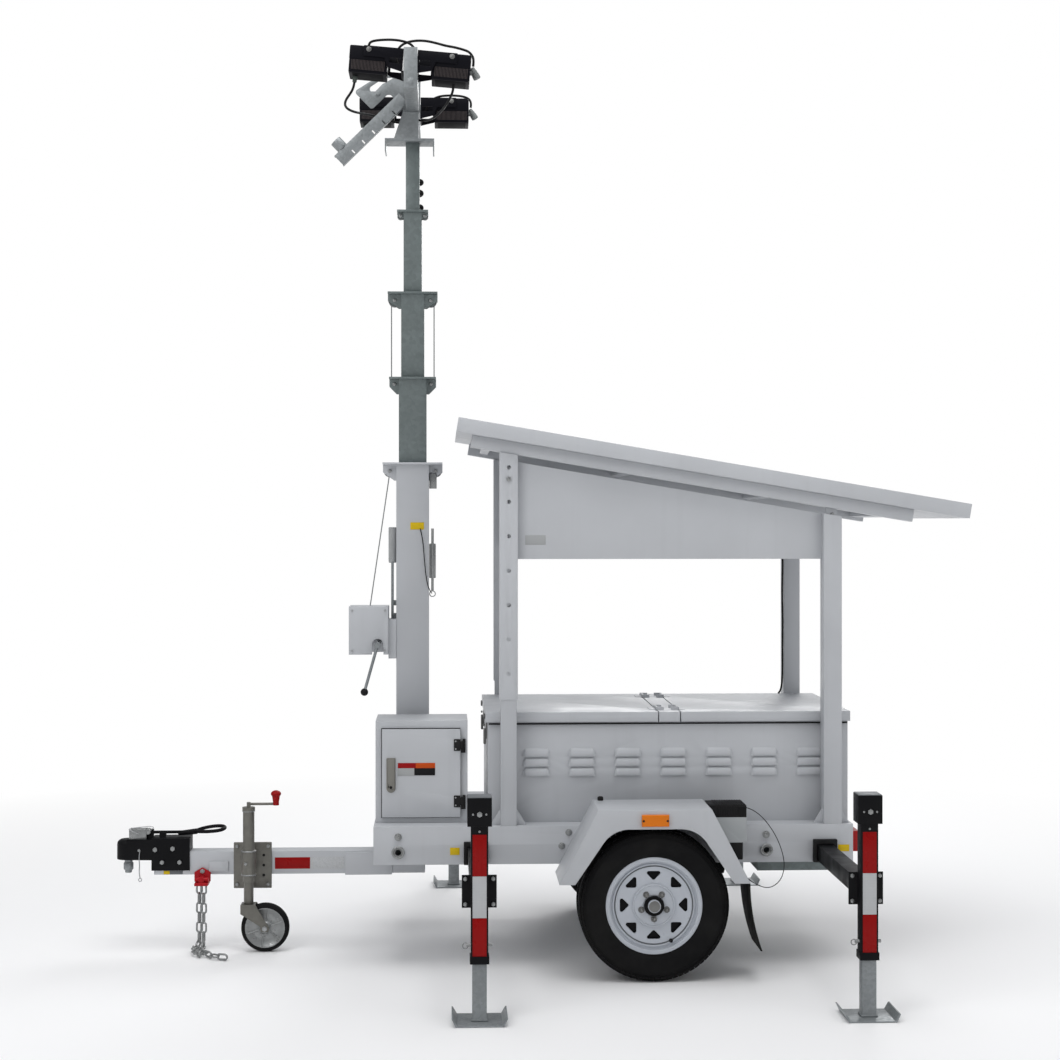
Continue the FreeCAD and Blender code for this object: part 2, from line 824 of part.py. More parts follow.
def make_fenders():
    inner = frame_half_width
    low = fender_bottom_z
    outline = [
        (axle_x - fender_bottom_half, low),
        (axle_x - fender_top_half, fender_top_z),
        (axle_x + fender_top_half, fender_top_z),
        (axle_x + fender_bottom_half, low),
    ]
    shell = plate_xz(outline, -fender_outer_y, -inner)
    skin = fender_sheet
    slope = (fender_bottom_half - fender_top_half) / (fender_top_z - low)
    inside_top = fender_top_half - skin - slope * skin
    inside_low = fender_bottom_half - skin
    inside = [
        (axle_x - inside_low, low),
        (axle_x - inside_top, fender_top_z - skin),
        (axle_x + inside_top, fender_top_z - skin),
        (axle_x + inside_low, low),
    ]
    room = plate_xz(inside, -fender_outer_y + skin, -inner - skin)
    back = block(axle_x - fender_bottom_half, axle_x + fender_bottom_half, -inner - skin - 1, -inner + 1,
                 low - 1, fender_back_bottom_z)
    arch = [
        (axle_x - fender_arch_bottom_half, low - 1, 0),
        (axle_x - fender_arch_top_half, fender_arch_top_z, fender_arch_round),
        (axle_x + fender_arch_top_half, fender_arch_top_z, fender_arch_round),
        (axle_x + fender_arch_bottom_half, low - 1, 0),
    ]
    shell = shell.cut(room).cut(back).cut(rounded_plate_xz(arch, -fender_outer_y - 1, -inner + 1))
    write("fenders", both_sides(shell))
    length = marker_length / 2
    height = marker_height / 2
    face = -fender_outer_y
    lens = block(axle_x - length, axle_x + length, face - marker_reach, face,
                 marker_z - height, marker_z + height)
    front_edges = [edge for edge in lens.Edges
                   if all(abs(point.Point.y - face + marker_reach) < 0.1 for point in edge.Vertexes)]
    write("marker_lamps", both_sides(lens.makeFillet(marker_reach / 3, front_edges)))


def make_mudflaps():
    """A rubber flap that hangs behind each wheel and curls back towards its foot."""
    front = axle_x + fender_bottom_half - mudflap_thick
    middle = (fender_bottom_z + mudflap_bottom_z) / 2
    rise = mudflap_thick
    places = ((0, fender_bottom_z), (mudflap_lean / 4, middle), (mudflap_lean, mudflap_bottom_z))
    front_points = [vec(front + lean, 0, z) for lean, z in places]
    back_points = [point + vec(rise, 0, 0) for point in front_points]
    edges = [
        Part.Arc(*front_points),
        Part.LineSegment(front_points[2], back_points[2]),
        Part.Arc(*reversed(back_points)),
        Part.LineSegment(back_points[0], front_points[0]),
    ]
    face = Part.Face(Part.Wire([edge.toShape() for edge in edges]))
    face.translate(vec(0, -fender_outer_y + mudflap_margin, 0))
    write("mudflaps", both_sides(face.extrude(vec(0, mudflap_width, 0))))


def make_chocks():
    """Chocks in their holders, with the front edge along the fender's slope."""
    slope = (fender_bottom_half - fender_top_half) / (fender_top_z - fender_bottom_z)
    top_x = axle_x + fender_top_half + chock_face_gap
    outline = [
        (top_x + slope * (fender_top_z - chock_top_z), chock_top_z),
        (chock_rear_x, chock_top_z),
        (chock_rear_x, chock_step_z),
        (chock_foot_rear_x, chock_step_z),
        (chock_foot_rear_x, chock_bottom_z),
        (top_x + slope * (fender_top_z - chock_bottom_z), chock_bottom_z),
    ]
    chock = plate_xz(outline, -frame_half_width - chock_width, -frame_half_width)
    write("wheel_chocks", both_sides(chock))


def make_drawbar():
    half = drawbar_width / 2
    inner = half - drawbar_wall
    outside = block(drawbar_front_x, drawbar_rear_x, -half, half, drawbar_bottom_z, drawbar_top_z)
    inside = block(drawbar_front_x - 1, drawbar_rear_x + 1, -inner, inner,
                   drawbar_bottom_z + drawbar_wall, drawbar_top_z - drawbar_wall)
    bar = outside.cut(inside)
    plate = socket_plate
    pieces = [bar]
    for y0, y1 in ((-half - plate, -half), (half, half + plate)):
        pieces.append(block(socket_front_x, socket_rear_x, y0, y1, socket_bottom_z, socket_top_z))
    pad_half = half + drawbar_pad_reach
    for x in (drawbar_front_pad_x, drawbar_rear_pad_x):
        pieces.append(block(x, x + drawbar_pad_length, -pad_half, pad_half, drawbar_top_z, frame_bottom_z))
    write("drawbar", [fused(pieces)])


def make_coupler():
    half = drawbar_width / 2
    wide = half + coupler_wall
    rear = coupler_rear_x
    body = block(coupler_skirt_front_x, rear, -wide, wide, coupler_skirt_bottom_z, coupler_top_z)
    pieces = [body]
    nose_middle = coupler_nose_x + coupler_nose_radius
    nose_top_z = coupler_top_z - coupler_nose_drop
    nose = rod(coupler_nose_radius, (nose_middle, 0, coupler_nose_bottom_z), (nose_middle, 0, nose_top_z))
    pieces.append(nose)
    neck = Part.makePolygon([
        vec(nose_middle, -coupler_nose_radius, coupler_nose_bottom_z),
        vec(coupler_skirt_front_x, -wide, coupler_nose_bottom_z),
        vec(coupler_skirt_front_x, wide, coupler_nose_bottom_z),
        vec(nose_middle, coupler_nose_radius, coupler_nose_bottom_z),
        vec(nose_middle, -coupler_nose_radius, coupler_nose_bottom_z),
    ])
    pieces.append(Part.Face(neck).extrude(vec(0, 0, nose_top_z - coupler_nose_bottom_z)))
    solid = fused(pieces)
    seat = block(drawbar_front_x, rear + 1, -half, half, coupler_skirt_bottom_z - 1, drawbar_top_z)
    behind = block(coupler_skirt_front_x - 1, drawbar_front_x + 1, -half, half,
                   coupler_skirt_bottom_z - 1, coupler_nose_bottom_z)
    bore = rod(ball_socket_radius, (ball_socket_x, 0, coupler_nose_bottom_z - 1),
               (ball_socket_x, 0, coupler_nose_bottom_z + ball_socket_depth))
    solid = cut(solid, [seat, behind, bore])
    for x in (coupler_front_bolt_x, coupler_rear_bolt_x):
        z = coupler_bolt_z
        head = wide + coupler_bolt_reach
        for y0, y1 in ((-head, -wide), (wide, head)):
            solid = fused([solid, rod(coupler_bolt_radius, (x, y0, z), (x, y1, z))])
    low = coupler_lever_z - lever_thick / 2
    high = coupler_lever_z + lever_thick / 2
    loop_front = coupler_lever_rear_x - lever_loop_length
    latch = block(latch_front_x, latch_rear_x, -latch_half_width, latch_half_width, nose_top_z, latch_top_z)
    slim = block(latch_rear_x - 18, loop_front + 6, -lever_half_width, lever_half_width, low, high)
    foot = block(lever_foot_front_x, lever_foot_rear_x, -latch_half_width, latch_half_width,
                 coupler_top_z, coupler_lever_z)
    loop = block(loop_front, coupler_lever_rear_x, -lever_loop_half, lever_loop_half, low, high)
    hole = block(loop_front + lever_loop_rim, coupler_lever_rear_x - lever_loop_rim,
                 -lever_loop_half + lever_loop_rim, lever_loop_half - lever_loop_rim, low - 1, high + 1)
    lever = fused([slim, loop.cut(hole)])
    write("coupler", [fused([solid, latch, foot, lever])])


def chain_link(centre, direction, turned):
    """One link along a direction, flat or turned on its edge."""
    long = chain_link_length / 2
    wide = chain_link_width / 2
    wire = chain_wire / 2
    outer = block(-long, long, -wide, wide, -wire, wire)
    hole = block(-long + chain_wire, long - chain_wire, -wide + chain_wire, wide - chain_wire,
                 -wire - 1, wire + 1)
    ring = outer.cut(hole)
    if turned:
        ring.rotate(vec(0, 0, 0), vec(1, 0, 0), 90)
    turn = FreeCAD.Rotation(vec(1, 0, 0), direction)
    ring.Placement = FreeCAD.Placement(centre, turn).multiply(ring.Placement)
    return ring


def make_chain():
    """Two safety chains that hang to the ground: each link runs into the next and holds it."""
    low = chain_link_width / 2 + chain_floor_gap
    lug_z = drawbar_bottom_z - chain_lug_drop
    pitch = chain_link_length - chain_wire - 1
    pieces = []
    for route in chain_routes:
        x, y = route[0]
        line = Part.makePolygon([vec(x, y, lug_z)] + [vec(x, y, low) for x, y in route])
        joints = Part.Wire(line).discretize(Number=math.ceil(line.Length / pitch) + 1)
        for number, (start, end) in enumerate(zip(joints, joints[1:])):
            pieces.append(chain_link((start + end) / 2, end - start, number % 2 == 1))
    side = -drawbar_width / 2
    first_x = min(route[0][0] for route in chain_routes)
    last_x = max(route[0][0] for route in chain_routes)
    reach_y = min(route[0][1] for route in chain_routes)
    thick = chain_lug_thick
    front = first_x - thick
    rear = last_x + thick
    pieces.append(block(front, rear, side - thick, side, lug_z, drawbar_bottom_z + 30))
    pieces.append(block(front, rear, reach_y - thick, side, lug_z - thick, lug_z + thick))
    write("safety_chains", [fused(pieces)])


def make_jockey():
    half = drawbar_width / 2
    x = jockey_x
    y = jockey_y
    length = jockey_clamp_length / 2
    middle = x + jockey_clamp_shift
    plate = block(middle - length, middle + length, -half - jockey_clamp_plate, -half,
                  jockey_clamp_bottom_z, jockey_clamp_top_z)
    arm = block(x - jockey_arm_half_width, x + jockey_arm_half_width, y, -half,
                jockey_ring_bottom_z, jockey_ring_top_z)
    top = jockey_tube_top_z
    cap_top = top + jockey_cap_height
    crank_z = top + jockey_crank_rise
    crank_x = x + jockey_crank_length
    tube = rod(jockey_tube_radius, (x, y, jockey_tube_bottom_z), (x, y, top))
    ring = rod(jockey_tube_radius + jockey_ring_thick,
               (x, y, jockey_ring_bottom_z), (x, y, jockey_ring_top_z))
    cap = rod(jockey_tube_radius + jockey_cap_reach, (x, y, top), (x, y, cap_top))
    boss = rod(jockey_crank_radius + 3, (x, y, cap_top), (x, y, crank_z + jockey_crank_radius + 2))
    bar = rod(jockey_crank_radius, (x, y, crank_z), (crank_x, y, crank_z))
    knob = rod(jockey_knob_radius, (crank_x, y, crank_z - jockey_crank_radius),
               (crank_x, y, top + jockey_knob_top))
    solid = fused([plate, arm, tube, ring, cap, boss, bar, knob])
    inner = jockey_tube_radius - jockey_tube_wall
    bore = rod(inner, (x, y, jockey_tube_bottom_z - 1), (x, y, jockey_tube_top_z - 6))
    write("jockey_clamp", [solid.cut(bore)])

    guide = jockey_inner_radius
    post = rod(guide, (x, y, jockey_inner_bottom_z), (x, y, jockey_tube_top_z - 150))
    write("jockey_post", [post])

    wheel_x = x + jockey_trail
    wheel_z = jockey_wheel_radius
    side = jockey_wheel_width / 2 + jockey_side_gap
    plate_y = side + jockey_fork_plate
    top = jockey_inner_bottom_z - pin_gap
    outline = [
        (x - 34, top),
        (x + 34, top),
        (wheel_x + 22, wheel_z),
        (wheel_x + 16, wheel_z - 16),
        (wheel_x - 16, wheel_z - 16),
        (wheel_x - 22, wheel_z + 10),
        (x - 34, top - 40),
    ]
    cheeks = [plate_xz(outline, y - plate_y, y - side), plate_xz(outline, y + side, y + plate_y)]
    bridge = block(x - 34, x + 34, y - plate_y, y + plate_y, top - 8, top)
    wheel_room = rod(jockey_wheel_radius + jockey_side_gap,
                     (wheel_x, y - side, wheel_z), (wheel_x, y + side, wheel_z))
    pin = rod(7, (wheel_x, y - plate_y - 6, wheel_z), (wheel_x, y + plate_y + 6, wheel_z))
    fork = fused(cheeks + [bridge.cut(wheel_room), pin])
    write("jockey_fork", [fork])

    half_wheel = jockey_wheel_width / 2
    disc = rod(jockey_wheel_radius, (wheel_x, y - half_wheel, wheel_z), (wheel_x, y + half_wheel, wheel_z))
    rims = [edge for edge in disc.Edges if edge.Closed]
    disc = disc.makeFillet(14, rims)
    hole = rod(7 + pin_gap, (wheel_x, y - half_wheel - 1, wheel_z), (wheel_x, y + half_wheel + 1, wheel_z))
    write("jockey_wheel", [disc.cut(hole)])


def make_outriggers():
    half = beam_width / 2
    inner = half - beam_wall
    for name, x, direction in beam_places():
        mouth = direction * frame_half_width
        inner_y = direction * (frame_half_width - beam_overlap)
        outer_y = direction * (leg_y - leg_width / 2 - leg_plate_thick)
        y0, y1 = sorted((inner_y, outer_y))
        beam = across_tube(x, beam_z, beam_width, beam_wall, y0, y1)
        plate_y0, plate_y1 = sorted((outer_y, direction * (leg_y - leg_width / 2)))
        plate = block(x - leg_plate_width / 2, x + leg_plate_width / 2, plate_y0, plate_y1,
                      beam_z - leg_plate_height / 2, beam_z + leg_plate_height / 2)
        leg = upright_tube(x, direction * leg_y, leg_width, leg_wall, leg_bottom_z, leg_top_z)
        guide_wall = (leg_guide_width - foot_tube_width) / 2 - slide_gap
        guide = upright_tube(x, direction * leg_y, leg_guide_width, guide_wall,
                             leg_bottom_z, leg_bottom_z + leg_guide_height)
        head_top_z = leg_top_z + leg_head_height
        head_wall = (leg_head_width - leg_width) / 2 + leg_wall
        head = upright_tube(x, direction * leg_y, leg_head_width, head_wall, leg_top_z, head_top_z)
        cap = upright_post(x, direction * leg_y, leg_head_width, head_top_z - leg_head_cap, head_top_z)
        write("outrigger_" + name, [fused([beam, plate, leg, guide, head, cap])])

        tube = upright_tube(x, direction * leg_y, foot_tube_width, foot_tube_wall,
                            foot_thick, foot_tube_top_z)
        base = block(x - foot_length / 2 + foot_lip_lean, x + foot_length / 2 - foot_lip_lean,
                     direction * leg_y - foot_width / 2, direction * leg_y + foot_width / 2, 0, foot_thick)
        pieces = [tube, base]
        for end in (-1, 1):
            root = x + end * (foot_length / 2 - foot_lip_lean)
            tip = x + end * foot_length / 2
            lip = [
                (root, 0),
                (tip, foot_lip_height),
                (tip - end * foot_thick, foot_lip_height),
                (root - end * foot_thick, foot_thick),
            ]
            pieces.append(plate_xz(lip, direction * leg_y - foot_width / 2,
                                   direction * leg_y + foot_width / 2))
        write("foot_" + name, [fused(pieces)])
    collars = []
    for name, x, direction in beam_places():
        y0, y1 = sorted((direction * frame_half_width, direction * (frame_half_width + collar_thick)))
        outside = block(x - min(collar_width / 2, beam_pitch / 2 + 9), x + collar_width / 2, y0, y1,
                        beam_z - collar_height / 2 + 15, beam_z + collar_height / 2)
        room = half + slide_gap
        collars.append(outside.cut(block(x - room, x + room, y0 - 1, y1 + 1, beam_z - room, beam_z + room)))
    write("beam_collars", collars)


def make_battery_box():
    side = box_half_width
    skin = box_sheet
    shell = block(box_front_x, box_rear_x, -side, side, frame_top_z, box_top_z)
    room = block(box_front_x + skin, box_rear_x - skin, -side + skin, side - skin,
                 frame_top_z + skin, box_top_z + 1)
    shell = shell.cut(room)
    strip = block(strip_front_x, strip_rear_x, -side - lid_overhang, side + lid_overhang,
                  box_top_z, lid_top_z)
    strip_room = block(strip_front_x + skin, strip_rear_x - skin, -side + skin, side - skin,
                       box_top_z - 1, lid_top_z - skin)
    pieces = [shell, strip.cut(strip_room)]
    for x0, x1 in ((strip_front_x, strip_front_x + skin), (strip_rear_x - skin, strip_rear_x)):
        pieces.append(block(x0, x1, -side, side, box_top_z - 30, box_top_z + 1))
    first_x = box_front_x + louvre_front_margin
    pitch = (box_rear_x - louvre_rear_margin - louvre_length - first_x) / (louvre_groups - 1)
    for group in range(louvre_groups):
        x0 = first_x + group * pitch
        for row in range(louvre_rows):
            z0 = louvre_low_z - louvre_height / 2 + row * louvre_row_pitch
            slat = plate_yz([(-side, z0), (-side - louvre_reach, z0), (-side, z0 + louvre_height)],
                            x0, x0 + louvre_length)
            pieces.extend(both_sides(slat))
    write("battery_box", [fused(pieces + lid_hinge_brackets())])
    bank = block(box_front_x + bank_end_gap, box_rear_x - bank_end_gap, -bank_half_width, bank_half_width,
                 frame_top_z + skin, frame_top_z + skin + bank_height)
    write("battery_bank", [bank])


def make_lid(name, hinge_x, end_x):
    """A folded lid, open below, that rests on the box's rim and is hinged at the fixed strip."""
    side = box_half_width + lid_overhang
    skin = box_sheet
    direction = 1 if end_x > hinge_x else -1
    near = hinge_x + direction * lid_gap
    x0, x1 = sorted((near, end_x))
    lid = block(x0, x1, -side, side, box_top_z + pin_gap, lid_top_z)
    lid = lid.cut(block(x0 + skin, x1 - skin, -side + skin, side - skin, box_top_z - 1, lid_top_z - skin))
    pieces = [lid]
    for y in (-lid_hinge_y, lid_hinge_y):
        y0 = y - lid_hinge_length / 2
        leaf0, leaf1 = sorted((hinge_x, near + direction * 30))
        pieces.append(block(leaf0, leaf1, y0, y0 + lid_hinge_length, lid_top_z, lid_top_z + 3))
        pieces.append(rod(lid_hinge_radius, (hinge_x, y0, lid_top_z + lid_hinge_radius),
                          (hinge_x, y0 + lid_hinge_length, lid_top_z + lid_hinge_radius)))
    solid = fused(pieces)
    bores = []
    for y in (-lid_hinge_y, lid_hinge_y):
        bores.append(rod(3 + pin_gap, (hinge_x, y - lid_hinge_length, lid_top_z + lid_hinge_radius),
                         (hinge_x, y + lid_hinge_length, lid_top_z + lid_hinge_radius)))
    write(name, [cut(solid, bores)])


def lid_hinge_brackets():
    """The lids' fixed hinge halves: an ear on the strip at each end of a hinge, and the pin."""
    brackets = []
    for hinge_x, direction in ((strip_front_x, 1), (strip_rear_x, -1)):
        for y in (-lid_hinge_y, lid_hinge_y):
            pin_z = lid_top_z + lid_hinge_radius
            reach = lid_hinge_length / 2
            pieces = [rod(3, (hinge_x, y - reach - 12, pin_z), (hinge_x, y + reach + 12, pin_z))]
            for y0 in (y - reach - 12, y + reach + 2):
                x0, x1 = sorted((hinge_x - direction * 6, hinge_x + direction * 30))
                ear = block(x0, x1, y0, y0 + 10, lid_top_z, pin_z + 6)
                pieces.append(ear)
            brackets.append(fused(pieces))
    return brackets


def make_cabinet():
    x0 = cabinet_front_x
    x1 = x0 + cabinet_width
    y0 = cabinet_near_y
    y1 = y0 + cabinet_depth
    z0 = frame_top_z
    z1 = z0 + cabinet_height
    skin = cabinet_sheet
    room = block(x0 + skin, x1 - skin, y0 + skin, y1 - skin, z0 + skin, z1 - skin)
    shell = block(x0, x1, y0, y1, z0, z1).cut(room)
    left = x0 + door_left_margin
    low = z0 + door_bottom_margin
    lip = 16
    opening = block(left + lip, left + door_width - lip, y0 - 1, y0 + skin + 1,
                    low + lip, low + door_height - lip)
    shell = shell.cut(opening)

    face = y0 - pin_gap
    door = block(left, left + door_width, face - door_thick, face, low, low + door_height)
    hollow = block(left + door_sheet, left + door_width - door_sheet, face - door_thick + door_sheet, face + 1,
                   low + door_sheet, low + door_height - door_sheet)
    door = door.cut(hollow)
    hinge_x = left + door_width + door_hinge_radius + 2
    pieces = [door]
    for share in (0.18, 0.82):
        z = low + door_height * share
        outside = face - door_thick
        pieces.append(block(left + door_width - 26, hinge_x, outside - 4, outside, z - 18, z + 18))
        pieces.append(rod(door_hinge_radius, (hinge_x, outside, z - 18), (hinge_x, outside, z + 18)))
    handle_x = left + 44
    handle_z = low + door_height * 0.5
    pieces.append(block(handle_x - 12, handle_x + 12, face - door_thick - 16, face - door_thick,
                        handle_z - 66, handle_z + 66))
    write("cabinet_door", [fused(pieces)])
    knuckles = [shell]
    for share in (0.18, 0.82):
        z = low + door_height * share
        y = face - door_thick
        knuckle = rod(door_hinge_radius, (hinge_x, y, z - 34), (hinge_x, y, z - 18 - pin_gap))
        tab = block(hinge_x - 4, hinge_x + 4, y, y0, z - 34, z - 18 - pin_gap)
        knuckles.extend([knuckle, tab])
    write("control_cabinet", [fused(knuckles)])


def post_foot(x, y):
    half = post_foot_length / 2
    top = post_width / 2
    outline = [
        (x - half, frame_top_z),
        (x + half, frame_top_z),
        (x + top, frame_top_z + post_foot_height),
        (x - top, frame_top_z + post_foot_height),
    ]
    return plate_xz(outline, y - post_foot_thick / 2, y + post_foot_thick / 2)


def make_posts():
    half = post_width / 2
    posts = []
    for y in (-post_y, post_y):
        x = front_post_x
        lower = upright_tube(x, y, lower_post_width, post_wall, frame_top_z, lower_post_top_z)
        top = roof_under_z(x, under_roof)
        outline = [
            (x - half, upper_post_bottom_z),
            (x + half, upper_post_bottom_z),
            (x + half, roof_under_z(x + half, under_roof)),
            (x - half, roof_under_z(x - half, under_roof)),
        ]
        upper = plate_xz(outline, y - half, y + half)
        inner = lower_post_width / 2
        upper = upper.cut(block(x - inner, x + inner, y - inner, y + inner,
                                upper_post_bottom_z - 1, top - 20))
        holes = []
        for number in range(post_hole_count):
            z = post_hole_top_z - number * post_hole_pitch
            holes.append(rod(post_hole_radius, (x, y - half - 1, z), (x, y - inner + 1, z)))
            holes.append(rod(post_hole_radius, (x, y + inner - 1, z), (x, y + half + 1, z)))
        foot = post_foot(x, y).cut(block(x - half, x + half, y - half, y + half, frame_top_z - 1, top))
        feet = fused([lower, foot.fuse(block(x - half, x + half, y - post_foot_thick / 2, y + post_foot_thick / 2,
                                             frame_top_z, frame_top_z + post_foot_height)
                                       .cut(block(x - inner, x + inner, y - inner, y + inner, frame_top_z - 1, top)))])
        posts.append(fused([feet, cut(upper, holes)]))
    for y in (-post_y, post_y):
        x = rear_post_x
        outline = [
            (x - half, frame_top_z),
            (x + half, frame_top_z),
            (x + half, roof_under_z(x + half, under_roof) - rear_bracket_height),
            (x - half, roof_under_z(x - half, under_roof) - rear_bracket_height),
        ]
        post = plate_xz(outline, y - half, y + half)
        inner = half - post_wall
        top = roof_under_z(x, under_roof) - rear_bracket_height
        post = post.cut(block(x - inner, x + inner, y - inner, y + inner, frame_top_z - 1, top - 20))
        wide = rear_bracket_width / 2
        bracket = [
            (x - wide, top - 10),
            (x + wide, top - 10),
            (x + wide, roof_under_z(x + wide, under_roof)),
            (x - wide, roof_under_z(x - wide, under_roof)),
        ]
        foot = post_foot(x, y).cut(block(x - inner, x + inner, y - inner, y + inner, frame_top_z - 1, top))
        posts.append(fused([post, plate_xz(bracket, y - wide / 2, y + wide / 2), foot]))
    write("roof_posts", posts)


def make_panels():
    x0 = front_post_x + post_width / 2
    x1 = rear_post_x - post_width / 2
    outline = [
        (x0, panel_bottom_z),
        (x1, panel_bottom_z),
        (x1, roof_under_z(x1, under_roof) - panel_gap),
        (x0, roof_under_z(x0, under_roof) - panel_gap),
    ]
    panel = plate_xz(outline, -post_y - panel_sheet / 2, -post_y + panel_sheet / 2)
    side = post_y - post_width / 2
    front = block(front_post_x - panel_sheet / 2, front_post_x + panel_sheet / 2, -side, side,
                  front_panel_bottom_z, front_panel_top_z)
    write("shade_panels", both_sides(panel) + [front])


def make_roof():
    half = roof_length / 2
    side = roof_half_width
    skin = roof_sheet
    tray = block(-half, half, -side, side, -roof_depth, 0)
    tray = tray.cut(block(-half + skin, half - skin, -side + skin, side - skin, -roof_depth + skin, 1))
    shelf = -solar_thick - skin
    ledge = block(-half + skin, half - skin, -side + skin, side - skin, shelf, -solar_thick)
    ledge = ledge.cut(block(-half + skin + 60, half - skin - 60, -side + skin + 60, side - skin - 60,
                            shelf - 1, -solar_thick + 1))
    write("roof_tray", [onto_roof(fused([tray, ledge]))])
    panel = block(-solar_length / 2, solar_length / 2, -solar_width / 2, solar_width / 2, -solar_thick, 0)
    write("solar_panel", [onto_roof(panel)])
    pieces = []
    deep = -roof_depth - roof_beam_depth
    for y in (-post_y, post_y):
        outside = block(roof_beam_front, roof_beam_rear, y - roof_beam_width / 2, y + roof_beam_width / 2,
                        deep, -roof_depth)
        inside = block(roof_beam_front - 1, roof_beam_rear + 1, y - roof_beam_width / 2 + roof_beam_wall,
                       y + roof_beam_width / 2 - roof_beam_wall, deep + roof_beam_wall,
                       -roof_depth - roof_beam_wall)
        pieces.append(outside.cut(inside))
    inner = post_y - roof_beam_width / 2
    for place in roof_cross_places:
        pieces.append(block(place - 20, place + 20, -inner, inner,
                            -roof_depth - roof_cross_depth, -roof_depth))
    write("roof_beams", [onto_roof(fused(pieces))])


def mast_flange(width, opening, top, reach, drop):
    """The plate round a section's top, with an ear and a cable pulley in front and behind."""
    half = width / 2 + flange_margin
    room = opening / 2 + slide_gap
    plate = block(mast_x - reach, mast_x + reach, -half, half, top - flange_thick, top)
    pieces = [plate]
    face = width / 2
    for direction in (-1, 1):
        outline = [
            (mast_x + direction * face, top - flange_thick),
            (mast_x + direction * reach, top - flange_thick),
            (mast_x + direction * reach, top - drop * 0.55),
            (mast_x + direction * (face + 12), top - drop),
            (mast_x + direction * face, top - drop),
        ]
        for y in (-ear_spread, ear_spread):
            pieces.append(plate_xz(outline, y - ear_thick / 2, y + ear_thick / 2))
        centre = mast_x + direction * (face + (reach - face) * 0.5)
        radius = min(pulley_radius, (reach - face) * 0.42)
        wheel_z = top - flange_thick - radius - 2
        spread = ear_spread - ear_thick / 2
        pieces.append(rod(radius, (centre, -7, wheel_z), (centre, 7, wheel_z)))
        pieces.append(rod(5, (centre, -spread, wheel_z), (centre, spread, wheel_z)))
    flange = fused(pieces)
    return flange.cut(block(mast_x - room, mast_x + room, -room, room, top - flange_thick - 1, top + 1))


def make_mast():
    widths = [row[1] for row in mast_rows] + [top_section_width]
    for number, (name, width, top, reach, drop) in enumerate(mast_rows):
        bottom = frame_top_z if number == 0 else top - mast_length
        tube = upright_tube(mast_x, 0, width, mast_wall, bottom, top - flange_thick)
        pieces = [tube, mast_flange(width, widths[number + 1], top, reach, drop)]
        if number == 0:
            face = width / 2
            for direction in (-1, 1):
                outline = [
                    (mast_x + direction * face, frame_top_z),
                    (mast_x + direction * (face + mast_gusset), frame_top_z),
                    (mast_x + direction * face, frame_top_z + mast_gusset),
                ]
                pieces.append(plate_xz(outline, 40, 48))
        write(name, [fused(pieces)])
    top = top_section_z
    tube = upright_tube(mast_x, 0, top_section_width, mast_wall, top - mast_length, top)
    write("mast_section_5", [tube])


def head_point(place):
    """A place given from the mast's axis and the head block's top, as X and Z."""
    return (mast_x + place[0], head_block_top_z + place[1])


def make_head():
    sheet = head_sheet
    top = top_section_z
    deck = top + head_plate_thick
    half = head_block_width / 2
    plate = block(mast_x - head_reach, mast_x + head_rear_reach, -head_half_width, head_half_width, top, deck)
    pieces = [plate]
    for x0, x1 in ((mast_x - head_reach, mast_x - head_reach + sheet),
                   (mast_x + head_rear_reach - sheet, mast_x + head_rear_reach)):
        pieces.append(block(x0, x1, -head_half_width, head_half_width, top - head_ear_drop, top))
    front = mast_x - head_block_front
    rear = mast_x + head_block_rear
    outline = [
        (front - head_flare, deck),
        (rear, deck),
        (rear, head_block_top_z),
        (front, head_block_top_z),
    ]
    inside = [
        (front - head_flare + 2 * sheet, deck + sheet),
        (rear - sheet, deck + sheet),
        (rear - sheet, head_block_top_z - sheet),
        (front + sheet, head_block_top_z - sheet),
    ]
    column = plate_xz(outline, -half, half).cut(plate_xz(inside, -half + sheet, half - sheet))
    pieces.append(column)
    face = rounded_plate_xz([head_point(place) + (place[2],) for place in head_face_outline],
                            -half - sheet, -half)
    slot = rounded_plate_xz([head_point(place) + (place[2],) for place in head_face_slot],
                            -half - sheet - 1, -half + 1)
    room = bar_width / 2
    bar_place = block(mast_x - room, mast_x + room, -half - sheet - 1, -half + 1,
                      head_block_top_z - 1, head_block_top_z + bar_width)
    pieces.append(face.cut(slot).cut(bar_place))
    tail = block(rear - head_tail_width, rear, -half - sheet, half,
                 head_block_top_z - sheet, head_block_top_z)
    pieces.append(tail)
    write("mast_head", [fused(pieces)])

    middle = head_block_top_z + bar_width / 2
    pieces = [across_tube(mast_x, middle, bar_width, bar_wall, -bar_half_length, bar_half_length)]
    for direction in (-1, 1):
        y0, y1 = sorted((direction * bar_half_length, direction * (bar_half_length + upright_thick)))
        pieces.append(block(mast_x - upright_width / 2, mast_x + upright_width / 2, y0, y1,
                            head_block_top_z - upright_drop, head_block_top_z + upright_rise))
    write("lamp_bar", [fused(pieces)])


def turned_near(shape, side):
    """The near lamps and their brackets are twisted a little on the bar's end."""
    if side > 0:
        return shape
    placed = shape.copy()
    placed.rotate(vec(mast_x, 0, lamp_pivot_z), vec(0, 1, 0), near_lamp_turn)
    return placed


